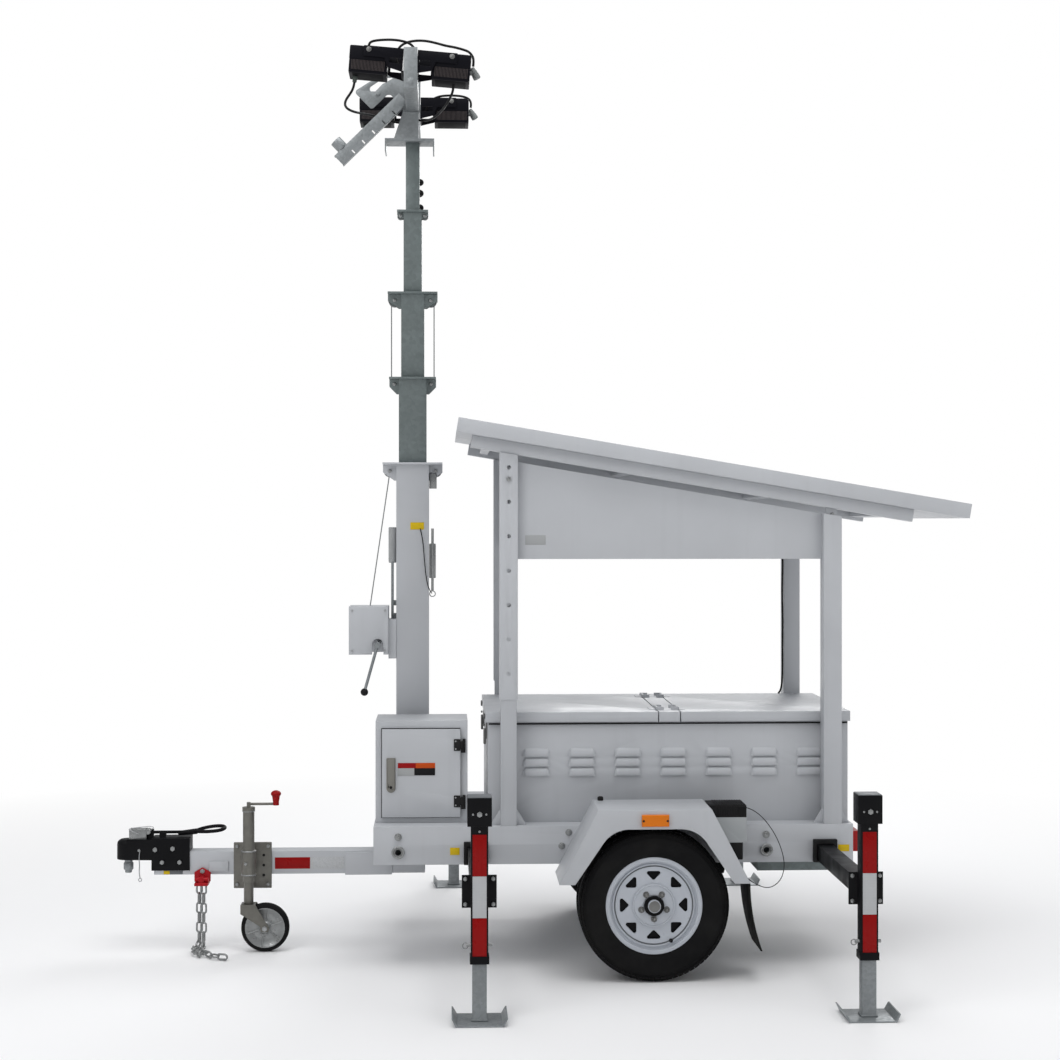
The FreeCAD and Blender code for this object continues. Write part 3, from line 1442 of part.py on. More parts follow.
def make_lamps():
    """Four floodlights that tilt about a bolt across their bracket's two arms."""
    brackets = []
    z = lamp_pivot_z
    low = z - lamp_drop
    high = low + lamp_height
    waist = low + lamp_fin_height
    depth = lamp_fin_depth
    edge = lamp_fin_edge
    room = bar_width / 2
    bar = block(mast_x - room, mast_x + room, -bar_half_length, bar_half_length,
                head_block_top_z, head_block_top_z + bar_width)
    for side in (-1, 1):
        for end in (-1, 1):
            name = "lamp_" + ("front" if end < 0 else "rear") + ("_near" if side < 0 else "_far")
            x = mast_x + end * lamp_offset_x
            y0, y1 = sorted((side * lamp_inner_y, side * lamp_outer_y))
            x0 = x - lamp_length_x / 2
            x1 = x + lamp_length_x / 2
            pieces = [
                block(x0, x1, y0, y1, waist, high),
                block(x0 + edge, x1 - edge, y0 + edge, y1 - edge, low, low + lamp_frame_height),
                block(x0 + depth, x1 - depth, y0 + depth, y1 - depth, low, high),
            ]
            pitch = (lamp_length_x - 2 * edge - lamp_fin_thick) / (lamp_fin_count - 1)
            for number in range(lamp_fin_count):
                fin_x = x0 + edge + number * pitch
                pieces.append(block(fin_x, fin_x + lamp_fin_thick, y0 + edge, y1 - edge, low, waist))
            for y, out in ((y0, -lamp_washer), (y1, lamp_washer)):
                pieces.append(rod(lamp_washer_radius, (x, y, z), (x, y + out, z)))
            pieces.extend(lamp_fittings(end, x0 if end < 0 else x1, (y0 + y1) / 2, low, high))
            bore = rod(lamp_bolt_radius + pin_gap, (x, y0 - lamp_side_gap, z), (x, y1 + lamp_side_gap, z))
            write(name, [turned_near(fused(pieces).cut(bore), side)])
            brackets.append(turned_near(lamp_bracket(x, y0, y1, end), side).cut(bar))
    write("lamp_brackets", brackets)


def lamp_fittings(end, edge_x, y, low, high):
    """Glands below and above a front lamp, or the plug that hangs at a rear lamp's end."""
    if end < 0:
        low_x = edge_x + low_gland_offset
        top_x = edge_x + top_gland_offset
        return [
            rod(gland_radius, (low_x, y, low - low_gland_reach), (low_x, y, low + lamp_frame_height)),
            rod(gland_radius, (top_x, y, high - 1), (top_x, y, high + top_gland_reach)),
        ]
    top = vec(edge_x + plug_top[0], y, lamp_pivot_z + plug_top[1])
    tip = vec(edge_x + plug_end[0], y, lamp_pivot_z + plug_end[1])
    middle = (top + tip) / 2
    return [
        rod(plug_radius, top, tip),
        rod(plug_cap_radius, middle, tip),
        rod(gland_radius, (edge_x - lamp_fin_depth, y, middle.z), middle),
    ]


def lamp_bracket(x, y0, y1, end):
    """A bent strap: two windowed arms from the lamp's bolt to a plate that stands on the bar."""
    sheet = lamp_arm_thick
    root = mast_x + end * (upright_width / 2 + upright_gap)
    tip = x + end * lamp_arm_tip
    low = head_block_top_z + bar_width
    high = lamp_pivot_z - lamp_drop + lamp_height
    inner_x = root + end * lamp_arm_root
    arm = [
        (root, low),
        (inner_x, low + lamp_arm_rise),
        (inner_x + end * lamp_arm_rise, lamp_pivot_z - lamp_arm_drop),
        (tip, lamp_pivot_z - lamp_arm_drop),
        (tip, high),
        (root, high),
    ]
    window_x = (root + end * lamp_window_margin, inner_x - end * lamp_window_margin)
    window_z = (lamp_pivot_z - lamp_window_low, lamp_pivot_z - lamp_window_low + lamp_window_height)
    window = [(window_x[0], window_z[0]), (window_x[1], window_z[0]), (window_x[1], window_z[1]),
              (window_x[0], window_z[1])]
    span0 = y0 - lamp_side_gap - sheet
    span1 = y1 + lamp_side_gap + sheet
    pieces = []
    for y in (span0, span1 - sheet):
        pieces.append(plate_xz(arm, y, y + sheet).cut(plate_xz(window, y - 1, y + sheet + 1)))
    x0, x1 = sorted((root, root + end * sheet))
    pieces.append(block(x0, x1, span0, span1, low, high))
    pieces.append(rod(lamp_bolt_radius, (x, span0 - lamp_bolt_reach, lamp_pivot_z),
                      (x, span1 + lamp_bolt_reach, lamp_pivot_z)))
    foot0, foot1 = sorted((mast_x + end * upright_gap, root))
    pieces.append(block(foot0, foot1, span0, span1, low, low + sheet))
    return fused(pieces)


def make_sensor_arm():
    """A folded channel that hangs forward from the head plate, with the light sensor at its end."""
    near = -head_block_width / 2 - head_sheet
    start_x, start_z = head_point(arm_top)
    end_x, end_z = head_point(arm_end)
    start = vec(start_x, 0, start_z)
    end = vec(end_x, 0, end_z)
    run = end - start
    length = run.Length
    half = arm_width / 2
    sheet = arm_sheet
    channel = block(0, length, near - arm_depth, near, -half, half)
    room = block(-1, length + 1, near - arm_depth + sheet, near + 1, -half + sheet, half - sheet)
    channel = channel.cut(room)
    back = block(0, length * arm_back_share, near - sheet, near, -half, half)
    elbow = block(-half, arm_slot_width, near - arm_depth, near - arm_depth + sheet, -half, half)
    slots = []
    for number in range(arm_slot_count):
        place = length * (arm_slot_first + arm_slot_pitch * number)
        slots.append(block(place, place + arm_slot_width, near - arm_depth - 1, near - arm_depth + sheet + 1,
                           half - arm_slot_length, half + 1))
    channel = cut(channel.fuse([back, elbow]), slots)
    channel.rotate(vec(0, 0, 0), vec(0, 1, 0), math.degrees(math.atan2(-run.z, run.x)))
    channel.translate(start)
    room = bar_width / 2
    bar_place = block(mast_x - room, mast_x + room, near - arm_depth - 1, near + 1,
                      head_block_top_z, head_block_top_z + bar_width)
    channel = cut(channel, [bar_place])
    direction = vec(run.x, 0, run.z)
    direction.normalize()
    across = vec(direction.z, 0, -direction.x)
    foot = start + direction * (length - sensor_margin) + across * half + vec(0, near - arm_depth / 2, 0)
    sensor = Part.makeCylinder(sensor_radius, sensor_length, foot, across)
    write("sensor_arm", [channel, sensor])


def make_leads():
    for name, route in lead_routes.items():
        write(name, [cord_tube(route, lead_radius)])


def make_winch():
    x0 = winch_front_x
    x1 = winch_rear_x
    skin = winch_sheet
    shell = block(x0, x1, winch_near_y, winch_far_y, winch_bottom_z, winch_top_z)
    shell = shell.cut(block(x0 + skin, x1 - skin, winch_near_y + skin, winch_far_y - skin,
                            winch_bottom_z - 1, winch_top_z - skin))
    radius = winch_arch_radius
    arch = rod(radius, (winch_shaft_x, winch_near_y - 1, winch_shaft_z),
               (winch_shaft_x, winch_near_y + skin + 1, winch_shaft_z))
    slot = block(winch_shaft_x - radius, winch_shaft_x + radius, winch_near_y - 1, winch_near_y + skin + 1,
                 winch_bottom_z - 1, winch_shaft_z)
    shell = cut(shell, [arch, slot])
    face = mast_x - mast_outer_width / 2
    bracket = block(x1, face, winch_near_y + 30, winch_far_y - 30, winch_bottom_z - 20, winch_top_z - 60)
    bracket = bracket.cut(block(x1 + 4, face - 4, winch_near_y + 34, winch_far_y - 34,
                                winch_bottom_z - 21, winch_top_z - 64))
    drum = rod(34, (winch_shaft_x - 40, winch_near_y + 40, winch_shaft_z + 50),
               (winch_shaft_x - 40, winch_far_y - skin, winch_shaft_z + 50))
    write("winch", [fused([shell, bracket, drum])])
    end_y = winch_near_y - crank_reach_y
    shaft = rod(winch_shaft_radius, (winch_shaft_x, winch_far_y - skin, winch_shaft_z),
                (winch_shaft_x, end_y, winch_shaft_z))
    shaft = shaft.cut(rod(34.2, (winch_shaft_x - 40, winch_near_y + 39, winch_shaft_z + 50),
                          (winch_shaft_x - 40, winch_far_y - skin, winch_shaft_z + 50)))
    crank = rod(crank_radius, (winch_shaft_x, end_y, winch_shaft_z), (crank_end_x, end_y, crank_end_z))
    ball = Part.makeSphere(crank_ball_radius, vec(crank_end_x, end_y, crank_end_z))
    eye = rod(14, (winch_shaft_x, end_y - 9, winch_shaft_z), (winch_shaft_x, end_y + 9, winch_shaft_z))
    working = fused([shaft, crank, ball, eye])
    x = stored_crank_x
    y = stored_crank_y
    grip_low = stored_crank_top_z - stored_grip_length
    bar = block(x - 6, x + 6, y - 12, y + 12, stored_crank_bottom_z, grip_low + 20)
    grip = rod(stored_grip_radius, (x, y, grip_low), (x, y, stored_crank_top_z))
    clip_z = stored_crank_bottom_z + stored_clip_rise
    clip = block(x, face, y - 8, y + 8, clip_z, clip_z + stored_clip_height)
    low = block(x, face, y - 12, y + 12, stored_crank_bottom_z, stored_crank_bottom_z + stored_clip_height)
    write("winch_cranks", [working, fused([bar, grip, clip, low])])


def make_tail_lights():
    lights = []
    for y in (-tail_y, tail_y):
        z0 = (frame_bottom_z + frame_top_z - tail_height) / 2
        lens = block(frame_rear_x, frame_rear_x + tail_reach, y - tail_length / 2, y + tail_length / 2,
                     z0, z0 + tail_height)
        face = frame_rear_x + tail_reach
        edges = []
        for edge in lens.Edges:
            if all(abs(point.Point.x - face) < 0.1 for point in edge.Vertexes):
                edges.append(edge)
        lights.append(lens.makeFillet(8, edges))
    write("tail_lights", lights)


def build():
    os.makedirs("parts", exist_ok=True)
    make_frame()
    make_axle()
    make_springs()
    make_wheel("near", -1)
    make_wheel("far", 1)
    make_fenders()
    make_mudflaps()
    make_chocks()
    make_drawbar()
    make_coupler()
    make_chain()
    make_jockey()
    make_outriggers()
    make_battery_box()
    make_lid("lid_front", strip_front_x, box_front_x - lid_overhang)
    make_lid("lid_rear", strip_rear_x, box_rear_x + lid_overhang)
    make_cabinet()
    make_posts()
    make_panels()
    make_roof()
    make_mast()
    make_head()
    make_lamps()
    make_sensor_arm()
    make_leads()
    make_winch()
    make_tail_lights()


build()
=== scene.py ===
import json
import math
import bpy
from mathutils import Matrix, Vector

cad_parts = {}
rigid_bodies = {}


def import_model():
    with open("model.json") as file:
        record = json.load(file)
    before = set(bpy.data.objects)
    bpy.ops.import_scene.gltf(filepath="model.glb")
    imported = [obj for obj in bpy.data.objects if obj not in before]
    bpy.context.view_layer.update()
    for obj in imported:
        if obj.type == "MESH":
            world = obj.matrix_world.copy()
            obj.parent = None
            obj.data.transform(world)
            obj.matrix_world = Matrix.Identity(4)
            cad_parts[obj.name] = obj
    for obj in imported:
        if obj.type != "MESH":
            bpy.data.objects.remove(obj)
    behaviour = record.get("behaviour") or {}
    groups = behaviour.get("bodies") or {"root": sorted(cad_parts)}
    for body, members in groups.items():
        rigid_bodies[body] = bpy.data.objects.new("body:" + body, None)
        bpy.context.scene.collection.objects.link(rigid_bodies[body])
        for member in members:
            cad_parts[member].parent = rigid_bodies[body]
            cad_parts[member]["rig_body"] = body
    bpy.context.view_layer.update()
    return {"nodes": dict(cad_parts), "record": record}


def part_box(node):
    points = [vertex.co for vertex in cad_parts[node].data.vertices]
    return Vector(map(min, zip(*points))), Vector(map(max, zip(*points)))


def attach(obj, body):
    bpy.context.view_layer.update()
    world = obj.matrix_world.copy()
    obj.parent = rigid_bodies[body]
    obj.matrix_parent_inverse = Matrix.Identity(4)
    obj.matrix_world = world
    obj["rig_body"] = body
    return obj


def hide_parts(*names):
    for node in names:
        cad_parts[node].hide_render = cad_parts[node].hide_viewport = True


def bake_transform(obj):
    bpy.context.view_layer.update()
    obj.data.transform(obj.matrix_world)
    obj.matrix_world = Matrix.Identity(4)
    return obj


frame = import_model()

# Metres, Z up, the drawbar towards -X and the control cabinet on the near side, -Y.
nodes = frame["nodes"]

wheel_x = 0.485
wheel_z = 0.325
mast_x = -0.555
lamp_pivot_z = 4.008
lamp_offset_x = 0.182
lamp_mid_y = 0.4735
near_lamp_turn = math.radians(4.5)
roof_place = Vector((0.786, 0.0, 2.229))
roof_tilt = math.radians(9.5)
lead_diameter = 0.011
lever_cut_x = -1.552
leg_y = 1.400
leg_half = 0.034
frame_side_y = 0.540
frame_back_x = 1.397
door_left_x = -0.684
door_low_z = 0.652
door_face_y = -0.4383
door_body = "cabinet_door_leaf"
jockey_x = -1.225
jockey_y = -0.140
jockey_z = 0.110
jockey_stem_x = -1.301
stud_radius = 0.05715
sides = (("near", -1), ("far", 1))
corners = [(end, side, direction) for end in ("front", "rear") for side, direction in sides]


def activate(piece):
    """Select this piece alone and make it the active one."""
    for item in bpy.context.selected_objects:
        item.select_set(False)
    piece.select_set(True)
    bpy.context.view_layer.objects.active = piece


def settle(piece, name):
    """Name a new primitive and put its place into its mesh."""
    piece.name = name
    activate(piece)
    bpy.ops.object.transform_apply(location=True, rotation=True, scale=True)
    return piece


def soften(piece, width, segments=2, angle=32.0):
    """Round the sharp edges and shade the rest smooth."""
    activate(piece)
    if width > 0:
        edges = piece.modifiers.new("edges", "BEVEL")
        edges.width = width
        edges.segments = segments
        edges.limit_method = "ANGLE"
        edges.angle_limit = math.radians(angle)
        bpy.ops.object.modifier_apply(modifier=edges.name)
    bpy.ops.object.shade_smooth_by_angle(angle=math.radians(38))
    return piece


def slab(name, low, high, edge=0.002):
    """A block from its low corner to its high corner, with rounded edges."""
    middle = (Vector(low) + Vector(high)) / 2
    bpy.ops.mesh.primitive_cube_add(size=1, location=middle)
    piece = bpy.context.object
    piece.scale = [abs(b - a) for a, b in zip(low, high)]
    return soften(settle(piece, name), edge)


def bar(name, start, end, radius, edge=0.001, sides=32, end_radius=None):
    """A round bar or cone from start to end."""
    run = Vector(end) - Vector(start)
    middle = (Vector(start) + Vector(end)) / 2
    turn = run.to_track_quat("Z", "Y").to_euler()
    tip = radius if end_radius is None else end_radius
    bpy.ops.mesh.primitive_cone_add(vertices=sides, radius1=radius, radius2=tip, depth=run.length,
                                    location=middle, rotation=turn)
    return soften(settle(bpy.context.object, name), edge)


def ball(name, centre, radius, squash=1.0):
    """A smooth ball, lower or higher where squash isn't 1."""
    bpy.ops.mesh.primitive_uv_sphere_add(segments=28, ring_count=16, radius=radius, location=centre)
    piece = bpy.context.object
    piece.scale = (1, 1, squash)
    settle(piece, name)
    bpy.ops.object.shade_smooth()
    return piece


def hex_nut(name, centre, out, size, height):
    """A six sided nut or bolt head that stands out from a face."""
    tip = Vector(centre) + Vector(out) * height
    return bar(name, centre, tip, size, edge=size * 0.12, sides=6)


def ring(name, centre, axis, radius, thick, sides=40):
    """A round wire ring about an axis."""
    turn = Vector(axis).to_track_quat("Z", "Y").to_euler()
    bpy.ops.mesh.primitive_torus_add(major_radius=radius, minor_radius=thick, major_segments=sides,
                                     minor_segments=12, location=centre, rotation=turn)
    piece = settle(bpy.context.object, name)
    bpy.ops.object.shade_smooth()
    return piece


def joined(name, pieces):
    """The pieces as one, under one name."""
    activate(pieces[0])
    for piece in pieces[1:]:
        piece.select_set(True)
    if len(pieces) > 1:
        bpy.ops.object.join()
    pieces[0].name = name
    return pieces[0]


def copied(piece, matrix, name):
    """A copy with its own mesh, moved by the matrix."""
    twin = bpy.data.objects.new(name, piece.data.copy())
    twin.data.transform(matrix)
    bpy.context.scene.collection.objects.link(twin)
    if matrix.determinant() < 0:
        twin.data.flip_normals()
    return twin


def mirrored(piece, name):
    """The same piece on the far side."""
    return copied(piece, Matrix.Scale(-1, 4, Vector((0, 1, 0))), name)


def cut_level(piece, height):
    """A level cut through the faces, so that two finishes can meet there."""
    activate(piece)
    bpy.ops.object.mode_set(mode="EDIT")
    bpy.ops.mesh.select_all(action="SELECT")
    bpy.ops.mesh.bisect(plane_co=(0, 0, height), plane_no=(0, 0, 1))
    bpy.ops.object.mode_set(mode="OBJECT")


def node_copy(node):
    """A copy of a construction node, merged so that its edges can be rounded."""
    piece = bpy.data.objects.new(node + "_finished", nodes[node].data.copy())
    bpy.context.scene.collection.objects.link(piece)
    activate(piece)
    if piece.data.has_custom_normals:
        bpy.ops.mesh.customdata_custom_splitnormals_clear()
    bpy.ops.object.mode_set(mode="EDIT")
    bpy.ops.mesh.select_all(action="SELECT")
    bpy.ops.mesh.remove_doubles(threshold=0.00004)
    bpy.ops.mesh.dissolve_limited(angle_limit=math.radians(1.0))
    bpy.ops.object.mode_set(mode="OBJECT")
    return piece


def paint(piece, material):
    """Give a piece one material."""
    piece.data.materials.clear()
    piece.data.materials.append(material)
    return piece


def repaint(piece, material, wanted):
    """Give another finish to the faces whose centre is wanted."""
    piece.data.materials.append(finish[material])
    number = len(piece.data.materials) - 1
    for face in piece.data.polygons:
        if wanted(face.center):
            face.material_index = number


def seat(piece, body, slot, *replaced):
    """Hang a piece on its body and hide the nodes that it replaces. Its slot is not used."""
    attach(piece, body)
    if replaced:
        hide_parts(*replaced)
    return piece


def fit(piece, material, body, slot, *replaced):
    """Give a piece its finish and seat it."""
    paint(piece, finish[material])
    return seat(piece, body, slot, *replaced)


def body_of(node):
    """The body that a construction node rides on."""
    return nodes[node]["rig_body"]


def slot_of(node):
    """The material slot of a construction node."""
    for part in frame["record"]["subparts"]:
        if part["node"] == node:
            return part["material_slot"]


def curve_line(name, points, radius=0.0, closed=False):
    """A smooth line through a route, its ends on the route's ends."""
    data = bpy.data.curves.new(name, "CURVE")
    data.dimensions = "3D"
    data.resolution_u = 8
    data.bevel_depth = radius
    data.bevel_resolution = 5
    data.use_fill_caps = not closed
    spline = data.splines.new("NURBS")
    spline.points.add(len(points) - 1)
    for point, place in zip(spline.points, points):
        point.co = (*place, 1)
    spline.order_u = 3
    spline.use_endpoint_u = not closed
    spline.use_cyclic_u = closed
    line = bpy.data.objects.new(name, data)
    bpy.context.scene.collection.objects.link(line)
    return line


def wire(name, points, radius, closed=False):
    """A bent wire or cable as a mesh."""
    line = curve_line(name, points, radius, closed)
    mesh = bpy.data.meshes.new_from_object(line)
    bpy.data.objects.remove(line)
    piece = bpy.data.objects.new(name, mesh)
    bpy.context.scene.collection.objects.link(piece)
    activate(piece)
    bpy.ops.object.mode_set(mode="EDIT")
    bpy.ops.mesh.select_all(action="SELECT")
    bpy.ops.mesh.remove_doubles(threshold=0.00001)
    bpy.ops.mesh.normals_make_consistent(inside=False)
    bpy.ops.object.mode_set(mode="OBJECT")
    bpy.ops.object.shade_smooth_by_angle(angle=math.radians(60))
    return piece


class Finish:
    """A procedural finish: its nodes are added one by one and linked by name."""

    def __init__(self, name, roughness=0.5, metallic=0.0, shine=0.5):
        self.material = bpy.data.materials.new(name)
        self.material.use_nodes = True
        self.tree = self.material.node_tree
        self.shader = self.tree.nodes["Principled BSDF"]
        self.shader.inputs["Roughness"].default_value = roughness
        self.shader.inputs["Metallic"].default_value = metallic
        self.shader.inputs["Specular IOR Level"].default_value = shine
        self.place = self.node("ShaderNodeTexCoord").outputs["Object"]
        self.normal = None

    def node(self, kind, **values):
        made = self.tree.nodes.new(kind)
        for key, value in values.items():
            setattr(made, key, value)
        return made

    def link(self, source, target):
        self.tree.links.new(source, target)

    def noise(self, scale, detail=4.0, stretch=None):
        made = self.node("ShaderNodeTexNoise")
        made.inputs["Scale"].default_value = scale
        made.inputs["Detail"].default_value = detail
        if stretch:
            mapping = self.node("ShaderNodeMapping")
            mapping.inputs["Scale"].default_value = stretch
            self.link(self.place, mapping.inputs["Vector"])
            self.link(mapping.outputs["Vector"], made.inputs["Vector"])
        else:
            self.link(self.place, made.inputs["Vector"])
        return made.outputs["Fac"]

    def ranged(self, value, low, high, to_low=0.0, to_high=1.0):
        made = self.node("ShaderNodeMapRange")
        for key, number in (("From Min", low), ("From Max", high), ("To Min", to_low), ("To Max", to_high)):
            made.inputs[key].default_value = number
        self.link(value, made.inputs["Value"])
        return made.outputs["Result"]

    def product(self, first, second):
        made = self.node("ShaderNodeMath", operation="MULTIPLY")
        self.link(first, made.inputs[0])
        if isinstance(second, float):
            made.inputs[1].default_value = second
        else:
            self.link(second, made.inputs[1])
        return made.outputs[0]

    def mix(self, factor, first, second):
        made = self.node("ShaderNodeMix", data_type="RGBA")
        self.link(factor, made.inputs["Factor"])
        for key, value in (("A", first), ("B", second)):
            socket = [item for item in made.inputs if item.name == key and item.type == "RGBA"][0]
            if isinstance(value, tuple):
                socket.default_value = (*value, 1.0)
            else:
                self.link(value, socket)
        return [item for item in made.outputs if item.type == "RGBA"][0]

    def edges(self, radius):
        """How near a point is to a sharp edge, and a normal that rounds that edge."""
        soft = self.node("ShaderNodeBevel", samples=4)
        soft.inputs["Radius"].default_value = radius
        flat = self.node("ShaderNodeNewGeometry")
        dot = self.node("ShaderNodeVectorMath", operation="DOT_PRODUCT")
        self.link(soft.outputs["Normal"], dot.inputs[0])
        self.link(flat.outputs["Normal"], dot.inputs[1])
        self.normal = soft.outputs["Normal"]
        return self.ranged(dot.outputs["Value"], 0.99, 0.86)

    def bump(self, height, strength, distance):
        made = self.node("ShaderNodeBump")
        made.inputs["Strength"].default_value = strength
        made.inputs["Distance"].default_value = distance
        self.link(height, made.inputs["Height"])
        if self.normal:
            self.link(self.normal, made.inputs["Normal"])
        self.normal = made.outputs["Normal"]

    def done(self, colour, roughness=None):
        if isinstance(colour, tuple):
            self.shader.inputs["Base Color"].default_value = (*colour, 1.0)
        else:
            self.link(colour, self.shader.inputs["Base Color"])
        if roughness:
            self.link(roughness, self.shader.inputs["Roughness"])
        if self.normal:
            self.link(self.normal, self.shader.inputs["Normal"])
        return self.material


def painted(name, colour, worn, roughness=0.38, wear=0.35, shine=0.4):
    """Sprayed paint: faint mottle, run-off streaks, a fine peel and paler or darker edges."""
    finish = Finish(name, shine=shine)
    mottle = finish.ranged(finish.noise(2.6, 6.0), 0.35, 0.68)
    deep = tuple(channel * 0.93 for channel in colour)
    base = finish.mix(mottle, colour, deep)
    streak = finish.ranged(finish.noise(1.0, 5.0, stretch=(22.0, 22.0, 1.2)), 0.55, 0.8)
    base = finish.mix(finish.product(streak, 0.25), base, tuple(channel * 0.8 for channel in colour))
    near_edge = finish.edges(0.0022)
    patchy = finish.ranged(finish.noise(34.0, 5.0), 0.42, 0.62)
    rubbed = finish.product(finish.product(near_edge, patchy), wear)
    base = finish.mix(rubbed, base, worn)
    finish.bump(finish.noise(420.0, 2.0), 0.12, 0.0006)
    rough = finish.ranged(finish.noise(9.0, 5.0), 0.3, 0.7, roughness - 0.07, roughness + 0.1)
    return finish.done(base, rough)


def zinc(name, colour, roughness=0.42, metallic=0.75, spangle=0.22, size=95.0):
    """Zinc coated steel: cloudy spangle with crystal cells of slightly different brightness."""
    finish = Finish(name, metallic=metallic)
    cells = finish.node("ShaderNodeTexVoronoi")
    cells.inputs["Scale"].default_value = size
    finish.link(finish.place, cells.inputs["Vector"])
    level = finish.node("ShaderNodeSeparateColor")
    finish.link(cells.outputs["Color"], level.inputs["Color"])
    light = tuple(min(channel * 1.12, 1.0) for channel in colour)
    dull = tuple(channel * 0.84 for channel in colour)
    base = finish.mix(finish.product(level.outputs[0], spangle * 3.0), dull, light)
    cloud = finish.ranged(finish.noise(5.0, 7.0), 0.38, 0.66)
    base = finish.mix(finish.product(cloud, 0.5), base, tuple(channel * 0.72 for channel in colour))
    near_edge = finish.edges(0.0018)
    base = finish.mix(finish.product(near_edge, 0.4), base, light)
    finish.bump(finish.noise(260.0, 3.0), 0.16, 0.0006)
    rough = finish.ranged(level.outputs[1], 0.0, 1.0, roughness - 0.08, roughness + 0.12)
    return finish.done(base, rough)


def moulded(name, colour, roughness, dust, dust_colour=(0.2, 0.19, 0.17), grain=700.0):
    """Rubber or moulded plastic with a fine grain and a little dust."""
    finish = Finish(name, shine=0.1)
    cloud = finish.ranged(finish.noise(7.0, 7.0), 0.4, 0.75)
    base = finish.mix(finish.product(cloud, dust), colour, dust_colour)
    near_edge = finish.edges(0.0015)
    base = finish.mix(finish.product(near_edge, dust), base, dust_colour)
    finish.bump(finish.noise(grain, 3.0), 0.2, 0.0005)
    rough = finish.ranged(finish.noise(24.0, 5.0), 0.3, 0.7, roughness - 0.08, roughness + 0.08)
    return finish.done(base, rough)


def polished(name, colour, roughness, metallic=1.0):
    """Bare metal, brushed a little unevenly."""
    finish = Finish(name, metallic=metallic)
    base = finish.mix(finish.noise(60.0, 4.0), colour, tuple(channel * 0.86 for channel in colour))
    rough = finish.ranged(finish.noise(150.0, 4.0), 0.3, 0.7, roughness, roughness + 0.14)
    return finish.done(base, rough)


def reflective(name, colour):
    """Reflective tape: a honeycomb of small cells under a clear face."""
    pitch = 0.006
    finish = Finish(name, shine=0.12)
    finish.shader.inputs["Coat Weight"].default_value = 0.04
    finish.shader.inputs["Coat Roughness"].default_value = 0.2
    cells = finish.node("ShaderNodeTexVoronoi", feature="DISTANCE_TO_EDGE")
    cells.inputs["Scale"].default_value = 1.0 / pitch
    cells.inputs["Randomness"].default_value = 0.15
    finish.link(finish.place, cells.inputs["Vector"])
    wall = finish.ranged(cells.outputs["Distance"], 0.0, 0.09, 1.0, 0.0)
    base = finish.mix(finish.product(wall, 0.4), colour, tuple(channel * 1.4 for channel in colour))
    rough = finish.ranged(finish.noise(20.0), 0.3, 0.7, 0.22, 0.4)
    return finish.done(base, rough)


def lens_plastic(name, colour, pitch):
    """A lamp lens: clear coated plastic with pressed ribs inside."""
    finish = Finish(name, roughness=0.3, shine=0.15)
    finish.shader.inputs["Coat Weight"].default_value = 0.15
    finish.shader.inputs["Coat Roughness"].default_value = 0.1
    wave = finish.node("ShaderNodeTexWave", bands_direction="X")
    wave.inputs["Scale"].default_value = 0.32 / pitch
    finish.link(finish.place, wave.inputs["Vector"])
    rib = finish.ranged(wave.outputs["Fac"], 0.0, 1.0)
    base = finish.mix(rib, tuple(channel * 0.62 for channel in colour), colour)
    finish.bump(wave.outputs["Fac"], 0.3, 0.001)
    return finish.done(base)


def solar_glass(name, cell_colour):
    """Dark cells in rows, thin wires across them, a pale gap between them, and glass over all."""
    finish = Finish(name, roughness=0.3)
    finish.shader.inputs["Coat Weight"].default_value = 1.0
    finish.shader.inputs["Coat Roughness"].default_value = 0.04
    flat = finish.node("ShaderNodeMapping", vector_type="TEXTURE")
    flat.inputs["Location"].default_value = roof_place
    flat.inputs["Rotation"].default_value = (0.0, roof_tilt, 0.0)
    finish.link(finish.place, flat.inputs["Vector"])

    def grid(width, height, gap):
        cells = finish.node("ShaderNodeTexBrick", offset=0.0)
        for key, number in (("Scale", 1.0), ("Mortar Size", gap), ("Mortar Smooth", 0.0),
                            ("Brick Width", width), ("Row Height", height)):
            cells.inputs[key].default_value = number
        cells.inputs["Color1"].default_value = (*cell_colour, 1.0)
        cells.inputs["Color2"].default_value = (0.018, 0.028, 0.075, 1.0)
        finish.link(flat.outputs["Vector"], cells.inputs["Vector"])
        return cells

    cell_length = 0.0925
    cell_width = 0.184
    cells = grid(cell_length, cell_width, 0.0016)
    wires = grid(cell_length * 24, cell_width / 10, 0.00035)
    base = finish.mix(finish.product(wires.outputs["Fac"], 0.5), cells.outputs["Color"], (0.34, 0.36, 0.4))
    base = finish.mix(cells.outputs["Fac"], base, (0.5, 0.53, 0.56))
    return finish.done(base)


